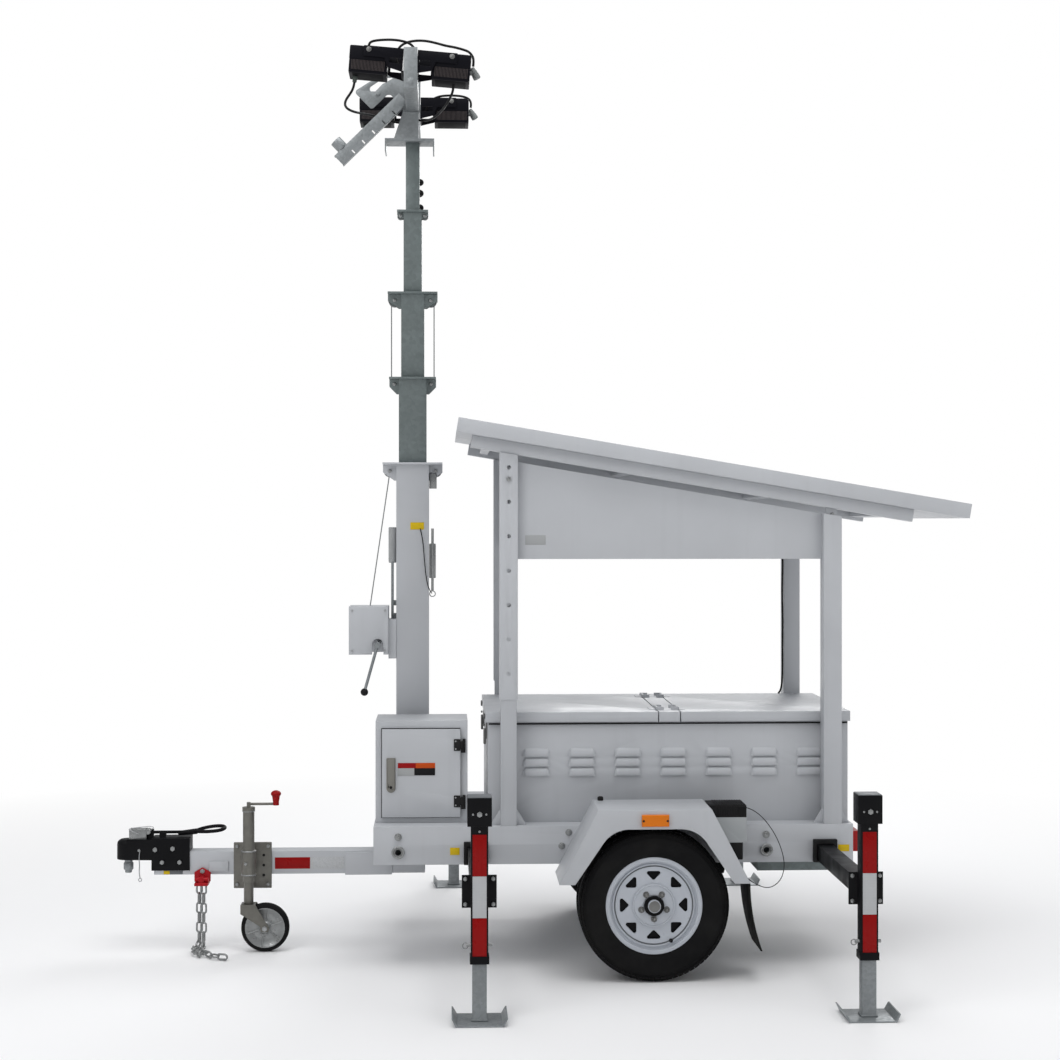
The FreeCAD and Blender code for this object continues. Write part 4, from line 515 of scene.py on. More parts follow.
def make_materials():
    """Every finish by its name, from its maker, its colour and what else it needs."""
    rows = (
        (painted, "white_paint", (0.49, 0.505, 0.53), dict(worn=(0.4, 0.41, 0.41), wear=0.25)),
        (zinc, "galvanised", (0.27, 0.29, 0.30), dict(metallic=0.4)),
        (zinc, "tube_zinc", (0.16, 0.19, 0.19), dict(metallic=0.35, size=60.0)),
        (zinc, "brown_zinc", (0.19, 0.185, 0.165), dict(metallic=0.6, size=60.0, spangle=0.12)),
        (zinc, "bright_zinc", (0.34, 0.35, 0.35), dict(roughness=0.34, spangle=0.12)),
        (painted, "black_paint", (0.0055, 0.0055, 0.0065),
         dict(worn=(0.035, 0.035, 0.035), roughness=0.42, wear=0.3, shine=0.1)),
        (moulded, "black_plastic", (0.011, 0.011, 0.012), dict(roughness=0.5, dust=0.05)),
        (moulded, "tyre_rubber", (0.0065, 0.0065, 0.007), dict(roughness=0.7, dust=0.03, grain=900.0)),
        (moulded, "flap_rubber", (0.010, 0.010, 0.010), dict(roughness=0.62, dust=0.05)),
        (painted, "wheel_silver", (0.50, 0.53, 0.58), dict(worn=(0.6, 0.62, 0.66), roughness=0.32, wear=0.4)),
        (painted, "shadow_grey", (0.12, 0.13, 0.14), dict(worn=(0.3, 0.3, 0.3), roughness=0.5, wear=0.2)),
        (solar_glass, "solar_glass", (0.012, 0.02, 0.055), {}),
        (lens_plastic, "amber_lens", (0.85, 0.21, 0.001), dict(pitch=0.004)),
        (lens_plastic, "red_lens", (0.42, 0.008, 0.008), dict(pitch=0.012)),
        (moulded, "chock_plastic", (0.40, 0.42, 0.43), dict(roughness=0.55, dust=0.08)),
        (painted, "lamp_housing", (0.005, 0.005, 0.0075),
         dict(worn=(0.03, 0.03, 0.034), roughness=0.45, wear=0.25, shine=0.07)),
        (moulded, "fin_metal", (0.050, 0.043, 0.044),
         dict(roughness=0.5, dust=0.3, dust_colour=(0.085, 0.068, 0.065))),
        (moulded, "lead_jacket", (0.009, 0.009, 0.010), dict(roughness=0.5, dust=0.05)),
        (moulded, "plug_grey", (0.2, 0.215, 0.215), dict(roughness=0.5, dust=0.1)),
        (moulded, "gland_green", (0.07, 0.085, 0.078), dict(roughness=0.5, dust=0.1)),
        (polished, "steel", (0.42, 0.43, 0.44), dict(roughness=0.28, metallic=0.85)),
        (polished, "dark_steel", (0.21, 0.21, 0.205), dict(roughness=0.35, metallic=0.8)),
        (polished, "cable", (0.32, 0.33, 0.33), dict(roughness=0.4)),
        (painted, "shackle_red", (0.38, 0.006, 0.012),
         dict(worn=(0.25, 0.12, 0.11), roughness=0.4, shine=0.2)),
        (reflective, "tape_red", (0.25, 0.002, 0.002), {}),
        (reflective, "tape_white", (0.44, 0.45, 0.46), {}),
        (painted, "tag_yellow", (0.62, 0.43, 0.012), dict(worn=(0.2, 0.16, 0.05), roughness=0.45, shine=0.15)),
        (painted, "tag_red", (0.30, 0.004, 0.005), dict(worn=(0.2, 0.08, 0.08), roughness=0.45, shine=0.15)),
        (painted, "tag_orange", (0.52, 0.07, 0.008), dict(worn=(0.3, 0.2, 0.15), roughness=0.45, shine=0.15)),
        (painted, "tag_grey", (0.36, 0.37, 0.375), dict(worn=(0.4, 0.4, 0.4), roughness=0.5)),
        (painted, "handle_grey", (0.20, 0.195, 0.175), dict(worn=(0.3, 0.3, 0.3), roughness=0.5)),
        (painted, "led_lens", (0.004, 0.004, 0.005), dict(worn=(0.01, 0.01, 0.01), roughness=0.6, shine=0.05)),
    )
    return {name: maker(name, colour, **looks) for maker, name, colour, looks in rows}


finish = make_materials()


def make_camera():
    """The camera that was fitted to the photo."""
    data = bpy.data.cameras.new("camera")
    data.sensor_width = 36.0
    data.lens = 64.53
    data.shift_y = -0.0094
    camera = bpy.data.objects.new("camera", data)
    camera.location = (-0.405, -8.868, 1.969)
    camera.rotation_euler = (math.radians(90.0), 0.0, math.radians(-2.56))
    bpy.context.scene.collection.objects.link(camera)
    bpy.context.scene.camera = camera


# Lamp leads: name, the lamp's body, where the bend ends, the route from the lamp on
lead_table = (
    ("lead_front_low", "lamp_front_near_body", (-0.845, -0.336, 3.812), (
        (-0.804, -0.4735, 3.896), (-0.808, -0.472, 3.872), (-0.822, -0.462, 3.850), (-0.842, -0.436, 3.830),
        (-0.851, -0.392, 3.817), (-0.845, -0.336, 3.812), (-0.829, -0.276, 3.814), (-0.809, -0.214, 3.820),
        (-0.787, -0.152, 3.829), (-0.762, -0.092, 3.838), (-0.732, -0.036, 3.842), (-0.694, 0.004, 3.838),
        (-0.654, 0.016, 3.828), (-0.614, 0.016, 3.822))),
    ("lead_front_top", "lamp_front_near_body", (-0.592, -0.455, 4.086), (
        (-0.741, -0.4735, 4.0535), (-0.740, -0.473, 4.067), (-0.728, -0.471, 4.079), (-0.702, -0.467, 4.085),
        (-0.668, -0.462, 4.089), (-0.630, -0.458, 4.090), (-0.592, -0.455, 4.086), (-0.556, -0.454, 4.074),
        (-0.536, -0.455, 4.048), (-0.537, -0.456, 4.010), (-0.545, -0.456, 3.970), (-0.549, -0.456, 3.926))),
    ("lead_rear_top", "lamp_rear_near_body", (-0.444, -0.424, 4.086), (
        (-0.281, -0.4735, 3.972), (-0.278, -0.473, 3.998), (-0.284, -0.471, 4.020), (-0.301, -0.466, 4.040),
        (-0.330, -0.456, 4.052), (-0.364, -0.446, 4.063), (-0.402, -0.434, 4.072), (-0.444, -0.424, 4.086),
        (-0.490, -0.415, 4.098), (-0.538, -0.413, 4.099), (-0.582, -0.420, 4.087), (-0.612, -0.434, 4.060),
        (-0.621, -0.446, 4.022), (-0.616, -0.452, 3.986), (-0.596, -0.454, 3.966))),
    ("lead_rear_low", "lamp_rear_near_body", (-0.410, -0.344, 3.816), (
        (-0.368, -0.473, 3.8898), (-0.369, -0.470, 3.868), (-0.378, -0.452, 3.846), (-0.394, -0.404, 3.826),
        (-0.410, -0.344, 3.816), (-0.426, -0.280, 3.811), (-0.442, -0.214, 3.810), (-0.458, -0.148, 3.812),
        (-0.473, -0.086, 3.818), (-0.490, -0.036, 3.824), (-0.508, -0.006, 3.830), (-0.528, 0.0, 3.832))),
    ("lead_rear_far", "lamp_rear_far_body", (-0.430, 0.452, 4.046), (
        (-0.279, 0.4735, 3.9955), (-0.276, 0.473, 4.018), (-0.288, 0.470, 4.039), (-0.317, 0.463, 4.048),
        (-0.352, 0.455, 4.050), (-0.390, 0.450, 4.049), (-0.430, 0.452, 4.046), (-0.466, 0.456, 4.032),
        (-0.490, 0.458, 4.004), (-0.498, 0.458, 3.970), (-0.516, 0.458, 3.950))),
)


def path_length(points):
    """The length along a row of points."""
    return sum((b - a).length for a, b in zip(points, points[1:]))


def point_along(points, distance):
    """The place at this distance along a row of points."""
    for start, end in zip(points, points[1:]):
        run = (end - start).length
        if distance <= run:
            return start + (end - start) * (distance / run)
        distance -= run
    return points[-1].copy()


def make_leads():
    """Each lead as a tube along its route, from its lamp to the mast's head."""
    for name, body, bend_end, route in lead_table:
        line = curve_line(name + "_line", route)
        flat = bpy.data.meshes.new_from_object(line)
        bpy.data.objects.remove(line)
        tube = wire(name + "_tube", route, lead_diameter / 2)
        paint(tube, finish["lead_jacket"])
        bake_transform(tube)
        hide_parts(name)


def spun_profile(name, profile, centre, steps):
    """A ring turned about the wheel's axis from a profile of Y and radius."""
    bpy.ops.mesh.primitive_plane_add(size=1, location=(0, 0, 0))
    piece = bpy.context.object
    piece.name = name
    bpy.ops.object.mode_set(mode="EDIT")
    bpy.ops.mesh.select_all(action="SELECT")
    bpy.ops.mesh.merge(type="CENTER")
    bpy.ops.object.mode_set(mode="OBJECT")
    first = profile[0]
    piece.data.vertices[0].co = (0, first[0], first[1])
    bpy.ops.object.mode_set(mode="EDIT")
    bpy.ops.mesh.select_all(action="SELECT")
    for before, after in zip(profile, profile[1:]):
        step = (0, after[0] - before[0], after[1] - before[1])
        bpy.ops.mesh.extrude_vertices_move(TRANSFORM_OT_translate={"value": step})
    bpy.ops.mesh.select_all(action="SELECT")
    bpy.ops.mesh.spin(steps=steps, angle=2 * math.pi, center=(0, 0, 0), axis=(0, 1, 0))
    bpy.ops.mesh.select_all(action="SELECT")
    bpy.ops.mesh.remove_doubles(threshold=0.00005)
    bpy.ops.mesh.normals_make_consistent(inside=False)
    bpy.ops.object.mode_set(mode="OBJECT")
    piece.data.transform(Matrix.Translation(centre))
    return piece


def make_tyre(side, direction):
    """Tyre of the real section, with a block tread that is inset and raised face by face."""
    middle = direction * 0.7255
    half_bead = 0.075
    rings = (
        (-half_bead, 0.193), (-0.078, 0.209), (-0.090, 0.222), (-0.0995, 0.245), (-0.1024, 0.262),
        (-0.1015, 0.277), (-0.0975, 0.290), (-0.0955, 0.2915), (-0.092, 0.301), (-0.084, 0.3115),
        (-0.072, 0.3175), (-0.047, 0.3185), (-0.042, 0.3145), (-0.024, 0.3185), (-0.019, 0.3145),
        (0.0, 0.3195),
    )
    profile = list(rings) + [(-y, r) for y, r in reversed(rings[:-1])] + [rings[0]]
    tyre = spun_profile("tyre_%s_rubber" % side, profile, (wheel_x, middle, wheel_z), 76)
    activate(tyre)
    hub = Vector((wheel_x, middle, wheel_z))
    bpy.ops.object.mode_set(mode="EDIT")
    bpy.ops.mesh.select_all(action="DESELECT")
    bpy.ops.mesh.select_mode(type="FACE")
    bpy.ops.object.mode_set(mode="OBJECT")
    for face in tyre.data.polygons:
        away = face.center - hub
        radius = math.hypot(away.x, away.z)
        across = abs(away.y)
        on_tread = radius > 0.3162 and across < 0.0725 and abs(face.normal.y) < 0.12
        on_shoulder = 0.3055 < radius < 0.3165 and 0.072 < across < 0.09
        face.select = on_tread or on_shoulder
    bpy.ops.object.mode_set(mode="EDIT")
    bpy.ops.mesh.inset(thickness=0.0016, use_individual=True)
    bpy.ops.mesh.extrude_region_shrink_fatten(TRANSFORM_OT_shrink_fatten={"value": 0.0052})
    bpy.ops.object.mode_set(mode="OBJECT")
    bpy.ops.object.shade_smooth_by_angle(angle=math.radians(34))
    fit(tyre, "tyre_rubber", "wheel_" + side, "tyre_rubber", "tyre_" + side)


def make_rim(side, direction):
    """The pressed rim with rolled lips, a dark ring of painted shade inside its step, a black disc of painted
    shade behind its windows, its hub ring, nuts and valve.
    """
    node = "rim_" + side
    body = "wheel_" + side
    rim = soften(node_copy(node), 0.0026, segments=3, angle=30.0)
    fit(rim, "wheel_silver", body, "wheel_silver", node)
    disc_face = direction * 0.786

    def hub(out):
        """A place on the wheel's axis, this far out from the disc's face."""
        return (wheel_x, disc_face + direction * out, wheel_z)

    rolls = [
        ring("lip", hub(0.0152), (0, 1, 0), 0.203, 0.0042, 96),
        ring("step", hub(0.002), (0, 1, 0), 0.174, 0.004, 96),
        ring("dish", hub(0.009), (0, 1, 0), 0.088, 0.004, 72),
    ]
    # A dark grey ring just inside the step ring: painted shade of the step's crease on the rim's face.
    shade_line = ring("rim_shade_line_" + side, hub(0.001), (0, 1, 0), 0.1665, 0.0024, 96)
    fit(shade_line, "shadow_grey", body, "wheel_silver")
    fit(joined("rim_rolls_" + side, rolls), "wheel_silver", body, "wheel_silver")
    nuts = []
    for number in range(5):
        angle = 2 * math.pi * number / 5 - math.pi / 2
        x = wheel_x + stud_radius * math.cos(angle)
        z = wheel_z + stud_radius * math.sin(angle)
        y = disc_face + direction * 0.009
        nuts.append(bar("washer", (x, y, z), (x, y + direction * 0.005, z), 0.0135, 0.001))
        nuts.append(hex_nut("nut", (x, y + direction * 0.004, z), (0, direction, 0), 0.0115, 0.0185))
        nuts.append(ball("nut_end", (x, y + direction * 0.0215, z), 0.0088))
    nuts.append(bar("cap", hub(0.0186), hub(0.0386), 0.0255, 0.004))
    # The black disc behind the rim is painted shade: it darkens the inside of the wheel seen through the rim's
    # windows. The hub ring beside it is the wheel's own black.
    dark = [
        bar("hub_ring", hub(0.008), hub(0.0186), 0.0452, 0.003, 48),
        bar("shade_disc", hub(-0.012), hub(-0.060), 0.158, 0.004, 48),
    ]
    fit(joined("wheel_hub_and_shade_disc_" + side, dark), "black_paint", body, "wheel_silver")
    fit(joined("wheel_nuts_" + side, nuts), "dark_steel", body, "galvanised")
    angle = math.radians(-64)
    x = wheel_x + 0.168 * math.cos(angle)
    z = wheel_z + 0.168 * math.sin(angle)
    valve = [
        bar("stem", (x, disc_face, z), (x, disc_face + direction * 0.03, z), 0.0048, 0.001),
        bar("foot", (x, disc_face, z), (x, disc_face + direction * 0.008, z), 0.0085, 0.002),
    ]
    fit(joined("valve_" + side, valve), "black_plastic", body, "tyre_rubber")


# Nodes that keep their form: material and how far their edges are rounded
softened_nodes = {
    "chassis_frame": ("white_paint", 0.0022), "battery_box": ("white_paint", 0.0016),
    "control_cabinet": ("white_paint", 0.0025), "cabinet_door": ("white_paint", 0.0025),
    "lid_front": ("white_paint", 0.0028), "lid_rear": ("white_paint", 0.0028),
    "roof_tray": ("white_paint", 0.0025), "roof_beams": ("white_paint", 0.0025),
    "roof_posts": ("white_paint", 0.0025), "shade_panels": ("white_paint", 0.0008),
    "fenders": ("white_paint", 0.0012), "mast_outer": ("white_paint", 0.0022),
    "mast_section_2": ("tube_zinc", 0.0022), "mast_section_3": ("tube_zinc", 0.0022),
    "mast_section_4": ("tube_zinc", 0.0022), "mast_section_5": ("tube_zinc", 0.003),
    "mast_head": ("galvanised", 0.0014), "lamp_bar": ("galvanised", 0.0018),
    "lamp_brackets": ("lamp_housing", 0.0014), "sensor_arm": ("galvanised", 0.0008),
    "winch": ("white_paint", 0.0024), "winch_cranks": ("galvanised", 0.0014),
    "drawbar": ("white_paint", 0.003), "coupler": ("black_paint", 0.004),
    "jockey_clamp": ("brown_zinc", 0.0018), "jockey_post": ("brown_zinc", 0.001),
    "jockey_fork": ("brown_zinc", 0.0014), "beam_collars": ("black_plastic", 0.003),
    "axle": ("black_paint", 0.0025), "leaf_springs": ("black_paint", 0.0012),
    "mudflaps": ("flap_rubber", 0.0016), "marker_lamps": ("amber_lens", 0.0),
    "tail_lights": ("red_lens", 0.0), "cross_sleeves": ("white_paint", 0.0012),
    "solar_panel": ("solar_glass", 0.001), "battery_bank": ("black_plastic", 0.004),
}
for end, side, direction in corners:
    softened_nodes["outrigger_%s_%s" % (end, side)] = ("black_paint", 0.0028)
    softened_nodes["foot_%s_%s" % (end, side)] = ("galvanised", 0.0018)


def shape_coupler(piece):
    """The lever's flat end goes, for a round loop in its place, and the nose gets a round top."""
    activate(piece)
    bpy.ops.object.mode_set(mode="EDIT")
    bpy.ops.mesh.select_all(action="SELECT")
    bpy.ops.mesh.bisect(plane_co=(lever_cut_x, 0, 0), plane_no=(1, 0, 0), clear_outer=True, use_fill=True)
    bpy.ops.mesh.select_mode(type="EDGE")
    bpy.ops.mesh.select_all(action="DESELECT")
    bpy.ops.object.mode_set(mode="OBJECT")
    points = piece.data.vertices
    for edge in piece.data.edges:
        ends = [points[number].co for number in edge.vertices]
        edge.select = all(end.x < -1.86 and end.z > 0.49 for end in ends)
    bpy.ops.object.mode_set(mode="EDIT")
    bpy.ops.mesh.bevel(offset=0.024, segments=5)
    bpy.ops.mesh.select_mode(type="VERT")
    bpy.ops.object.mode_set(mode="OBJECT")


def make_softened_nodes():
    """The construction's own pieces with rounded edges, some of their faces in another finish."""
    for node, (material, width) in softened_nodes.items():
        piece = node_copy(node)
        if node == "coupler":
            shape_coupler(piece)
        paint(soften(piece, width), finish[material])
        if node == "chassis_frame":
            repaint(piece, "tube_zinc", lambda centre: centre.z < 0.459 and centre.x > 0.98)
        if node in ("cabinet_door", "control_cabinet"):
            repaint(piece, "black_plastic", lambda centre: centre.x > -0.3392 and centre.y < -0.4225)
            repaint(piece, "handle_grey", lambda centre: centre.x < -0.62 and centre.y < -0.4395)
        if node == "jockey_clamp":
            repaint(piece, "tag_red", lambda centre: centre.z > 0.681 and centre.x > -1.195)
        seat(piece, body_of(node), slot_of(node), node)


# Safety chains: where each hangs, then along the ground, as the construction has them
chain_routes = (
    ((-1.531, -0.090), (-1.552, -0.178), (-1.504, -0.282)),
    ((-1.510, -0.106), (-1.510, -0.182), (-1.479, -0.265), (-1.424, -0.320), (-1.378, -0.336)),
)
chain_top_z = 0.301
chain_low_z = 0.018
link_length = 0.056
link_width = 0.034
link_wire = 0.0092


def make_chains():
    """Two chains of round links, each link turned on its neighbour."""
    bend = (link_width - link_wire) / 2
    straight = link_length / 2 - link_wire / 2 - bend
    bpy.ops.mesh.primitive_torus_add(major_radius=bend, minor_radius=link_wire / 2, major_segments=20,
                                     minor_segments=10, location=(0, 0, 0))
    link = bpy.context.object
    for vertex in link.data.vertices:
        vertex.co.x += straight if vertex.co.x > 0 else -straight
    bpy.ops.object.shade_smooth()
    links = []
    pitch = link_length - link_wire - 0.001
    for route in chain_routes:
        points = [Vector((*route[0], chain_top_z))] + [Vector((x, y, chain_low_z)) for x, y in route]
        total = path_length(points)
        count = math.ceil(total / pitch)
        joints = [point_along(points, total * number / count) for number in range(count + 1)]
        for number, (start, end) in enumerate(zip(joints, joints[1:])):
            turn = (end - start).to_track_quat("X", "Y").to_matrix().to_4x4()
            roll = Matrix.Rotation(math.radians(90 * (number % 2) + 12), 4, "X")
            matrix = Matrix.Translation((start + end) / 2) @ turn @ roll
            links.append(copied(link, matrix, "link"))
    bpy.data.objects.remove(link)
    fit(joined("safety_chain_links", links), "bright_zinc", "chassis", "galvanised", "safety_chains")


def make_chain_hook():
    """Red pressed plate with its pin and shackle, its bolt, and the white plate beside it."""
    plates = [
        bar("back_plate", (-1.521, -0.050, 0.326), (-1.521, -0.060, 0.326), 0.043, 0.003, sides=6),
        slab("shelf", (-1.552, -0.122, 0.294), (-1.488, -0.050, 0.308), 0.004),
        bar("pin", (-1.552, -0.098, 0.320), (-1.488, -0.098, 0.320), 0.010, 0.003),
        bar("shackle", (-1.521, -0.058, 0.318), (-1.521, -0.112, 0.318), 0.014, 0.003),
    ]
    fit(joined("chain_shackle", plates), "shackle_red", "chassis", "galvanised")
    bolt = hex_nut("shackle_bolt", (-1.521, -0.058, 0.352), (0, -1, 0), 0.0115, 0.008)
    fit(bolt, "bright_zinc", "chassis", "galvanised")
    cover = slab("pressed_plate", (-1.492, -0.057, 0.348), (-1.402, -0.050, 0.396), 0.003)
    fit(cover, "white_paint", "chassis", "white_paint")


def make_lamp(end, side, direction):
    """A floodlight: a deep cast housing, a row of cooling fins and the light window below."""
    label = "%s_%s" % (end, side)
    body = "lamp_%s_body" % label
    fore = -1 if end == "front" else 1
    half = 0.084
    x = mast_x + fore * lamp_offset_x
    y = direction * lamp_mid_y
    x0 = x - half
    x1 = x + half
    y0 = y - 0.0785
    y1 = y + 0.0785
    low = lamp_pivot_z - 0.102
    waist = low + 0.056
    high = low + 0.118
    black = [
        slab("housing", (x0, y0, waist), (x1, y1, high), 0.006),
        slab("core", (x0 + 0.001, y0 + 0.0025, low), (x1 - 0.001, y1 - 0.0025, waist + 0.002), 0.003),
        slab("cover", (x0 + 0.014, y0 + 0.014, high - 0.001), (x1 - 0.014, y1 - 0.014, high + 0.003), 0.0025),
    ]
    for face, out in ((y0, -0.0045), (y1, 0.0045)):
        black.append(bar("boss", (x, face, lamp_pivot_z), (x, face + out, lamp_pivot_z), 0.013, 0.001))
    fins = []
    fin_count = 24
    fin_thick = 0.003
    for number in range(fin_count):
        fin_x = x0 + 0.012 + (2 * half - 0.024 - fin_thick) * number / (fin_count - 1)
        fins.append(slab("fin", (fin_x, y0 - 0.0005, low + 0.012),
                         (fin_x + fin_thick, y1 + 0.0005, waist - 0.001), 0.0))
    window = [slab("window", (x0 + 0.016, y0 + 0.016, low - 0.0012),
                   (x1 - 0.016, y1 - 0.016, low + 0.004), 0.002)]
    fittings = lamp_fittings(fore, x + fore * half, y, low, high)
    bolts = []
    for out in (-1, 1):
        face = y + out * 0.0895
        bolts.append(bar("washer", (x, face - 0.001 * out, lamp_pivot_z),
                         (x, face + 0.002 * out, lamp_pivot_z), 0.0115))
        bolts.append(hex_nut("nut", (x, face + 0.0015 * out, lamp_pivot_z), (0, out, 0), 0.008, 0.005))
    turn = Matrix.Identity(4)
    if side == "near":
        pivot = Matrix.Translation((mast_x, 0, lamp_pivot_z))
        turn = pivot @ Matrix.Rotation(near_lamp_turn, 4, "Y") @ pivot.inverted()
    groups = (
        ("housing", black, "lamp_housing", body, "lamp_housing", "lamp_" + label),
        ("fins", fins, "fin_metal", body, "lamp_housing"),
        ("window", window, "led_lens", body, "lamp_housing"),
        ("fittings", fittings, "gland_green" if end == "front" else "plug_grey", body, "lamp_housing"),
        ("bolts", bolts, "dark_steel", "mast_stage_5", "galvanised"),
    )
    for name, pieces, *place in groups:
        piece = joined("lamp_%s_%s" % (label, name), pieces)
        piece.data.transform(turn)
        fit(piece, *place)


def lamp_fittings(fore, edge_x, y, low, high):
    """Glands under and over a front lamp, or the plug at a rear lamp's end."""
    if fore < 0:
        low_x = edge_x + 0.027
        top_x = edge_x + 0.077
        return [
            bar("low_gland", (low_x, y, low - 0.028), (low_x, y, low + 0.008), 0.0095, 0.0015),
            hex_nut("low_nut", (low_x, y, low - 0.016), (0, 0, 1), 0.0135, 0.012),
            bar("top_gland", (top_x, y, high), (top_x, y, high + 0.014), 0.0085, 0.0015),
            hex_nut("top_nut", (top_x, y, high), (0, 0, 1), 0.0125, 0.008),
        ]
    top = Vector((edge_x + 0.005, y, lamp_pivot_z - 0.022))
    tip = Vector((edge_x + 0.033, y, lamp_pivot_z - 0.068))
    run = tip - top
    return [
        bar("plug_neck", top, top + run * 0.35, 0.010, 0.001, end_radius=0.013),
        bar("plug_body", top + run * 0.3, top + run * 0.72, 0.014, 0.0015),
        bar("plug_cap", top + run * 0.62, tip, 0.0165, 0.003),
        ring("plug_ring", top + run * 0.6, run, 0.0145, 0.0022, 28),
        bar("plug_mount", (edge_x - 0.004, y, (top.z + tip.z) / 2), (top + tip) / 2, 0.010, 0.001),
    ]


def make_louvres():
    """Pressed louvre hoods with rounded ends, open at the bottom, over the slots of the box."""
    length = 0.118
    first_x = -0.059 + length / 2
    first_z = 0.843
    reach = length / 2 - 0.016
    bpy.ops.mesh.primitive_uv_sphere_add(segments=24, ring_count=12, radius=0.5, location=(0, 0, 0))
    hood = bpy.context.object
    for vertex in hood.data.vertices:
        vertex.co.x = vertex.co.x * 0.032 + (reach if vertex.co.x > 0 else -reach)
        vertex.co.y = min(vertex.co.y, 0.0) * 0.031
        vertex.co.z = max(vertex.co.z, -0.22) * 0.052
    bpy.ops.object.shade_smooth_by_angle(angle=math.radians(50))
    hoods = []
    for group in range(7):
        for row in range(3):
            place = (first_x + group * 0.204, -0.4295, first_z + row * 0.043)
            hoods.append(copied(hood, Matrix.Translation(place), "hood"))
    bpy.data.objects.remove(hood)
    near = fit(joined("louvres_near", hoods), "white_paint", "chassis", "white_paint")
    seat(mirrored(near, "louvres_far"), "chassis", "white_paint")


def make_box_fittings():
    """Toggle latches at both ends of the lids, and the rubber strips under the lids' edges."""
    blocks = (
        ("base", 0.0, 0.006, 0.022, 0.985, 1.055, 0.002), ("lever", 0.004, 0.016, 0.015, 0.960, 1.030, 0.004),
        ("keeper", 0.0095, 0.0165, 0.02, 1.074, 1.098, 0.002),
    )
    latches = []
    for face, out in ((-0.2165, -1), (frame_back_x + 0.0005, 1)):
        for y in (-0.30, 0.30):
            for name, near, far, half, z0, z1, edge in blocks:
                latches.append(slab(name, (face + out * near, y - half, z0),
                                    (face + out * far, y + half, z1), edge))
            bow_x = face + out * 0.012
            latches.append(bar("bow", (bow_x, y - 0.019, 1.045), (bow_x, y + 0.019, 1.045), 0.004))
    fit(joined("lid_latches", latches), "dark_steel", "chassis", "galvanised")
    box_low, box_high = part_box("battery_box")
    strips = []
    for y in (box_low.y, box_high.y):
        strips.append(slab("strip", (box_low.x + 0.004, y - 0.0016, 1.0605),
                           (box_high.x - 0.004, y + 0.0016, 1.0675), 0.0005))
    fit(joined("lid_gasket", strips), "black_plastic", "chassis", "black_plastic")


def make_door_handle():
    """Swing handle in its dish, with the lock in the dish's lower end."""
    low = door_low_z
    face = door_face_y
    middle = door_left_x + 0.040
    handle = [
        slab("dish", (middle - 0.020, face - 0.0085, low + 0.130),
             (middle + 0.020, face + 0.001, low + 0.264), 0.003),
        bar("dish_end", (middle, face + 0.001, low + 0.130), (middle, face - 0.0085, low + 0.130),
            0.0198, 0.003),
        slab("lever", (middle - 0.014, face - 0.0175, low + 0.150),
             (middle + 0.014, face - 0.006, low + 0.256), 0.007),
    ]
    fit(joined("door_handle", handle), "handle_grey", door_body, "galvanised")
    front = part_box("cabinet_door")[0].y
    lock = bar("door_lock", (middle, face, low + 0.135), (middle, front - 0.001, low + 0.135), 0.0065)
    fit(lock, "black_plastic", door_body, "black_plastic")


def make_door_gasket():
    """Four rubber strips around the back of the door."""
    x0 = door_left_x - 0.0035
    x1 = door_left_x + 0.3465
    z0 = door_low_z - 0.0035
    z1 = 1.0455
    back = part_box("cabinet_door")[1].y - 0.0005
    wide = 0.014
    gasket = []
    for x in (x0, x1 - wide):
        gasket.append(slab("upright_strip", (x, back - 0.0035, z0), (x + wide, back, z1), 0.0))
    for z in (z0, z1 - wide):
        gasket.append(slab("level_strip", (x0 + wide, back - 0.0035, z), (x1 - wide, back, z + wide), 0.0))
    fit(joined("door_gasket", gasket), "black_plastic", door_body, "black_plastic")


def make_door_hinges():
    """Two square hinges: leaf, barrel and screws on the door, and a post on the cabinet."""
    face = door_face_y
    leaves = []
    posts = []
    screws = []
    x = door_left_x + 0.354
    for share in (0.18, 0.82):
        z = door_low_z + 0.390 * share
        leaves.append(slab("leaf", (x - 0.036, face - 0.006, z - 0.026),
                           (x - 0.007, face + 0.001, z + 0.026), 0.002))
        leaves.append(bar("barrel", (x, face, z - 0.0175), (x, face, z + 0.0175), 0.0085, 0.001))
        posts.append(slab("post", (x + 0.003, face - 0.001, z - 0.035),
                          (x + 0.016, face + 0.019, z + 0.026), 0.002))
        for screw_z in (z - 0.017, z + 0.017):
            screws.append(bar("screw", (x - 0.028, face - 0.0055, screw_z),
                              (x - 0.028, face - 0.008, screw_z), 0.0036))
    fit(joined("door_hinges", leaves), "black_plastic", door_body, "black_plastic")
    fit(joined("hinge_screws", screws), "steel", door_body, "galvanised")
    fit(joined("hinge_posts", posts), "black_plastic", "chassis", "black_plastic")


def make_door_plates():
    """Blank plates in the door's middle."""
    plates = (
        ("tag_red", -0.614, -0.535, 0.870, 0.893), ("tag_orange", -0.535, -0.449, 0.870, 0.893),
        ("tag_grey", -0.614, -0.541, 0.836, 0.870), ("black_plastic", -0.541, -0.449, 0.838, 0.870),
    )
    for number, (material, x0, x1, z0, z1) in enumerate(plates):
        plate = slab("door_plate_%d" % number, (x0, door_face_y - 0.0018, z0),
                     (x1, door_face_y + 0.0005, z1), 0.0003)
        fit(plate, material, door_body, "black_plastic")


def tape(name, x0, x1, face, direction, z0, z1, material, body):
    """A strip of reflective tape on an upright face of one side."""
    y0, y1 = sorted((face, face + direction * 0.0008))
    fit(slab(name, (x0, y0, z0), (x1, y1, z1), 0.0003), material, body, "white_paint")


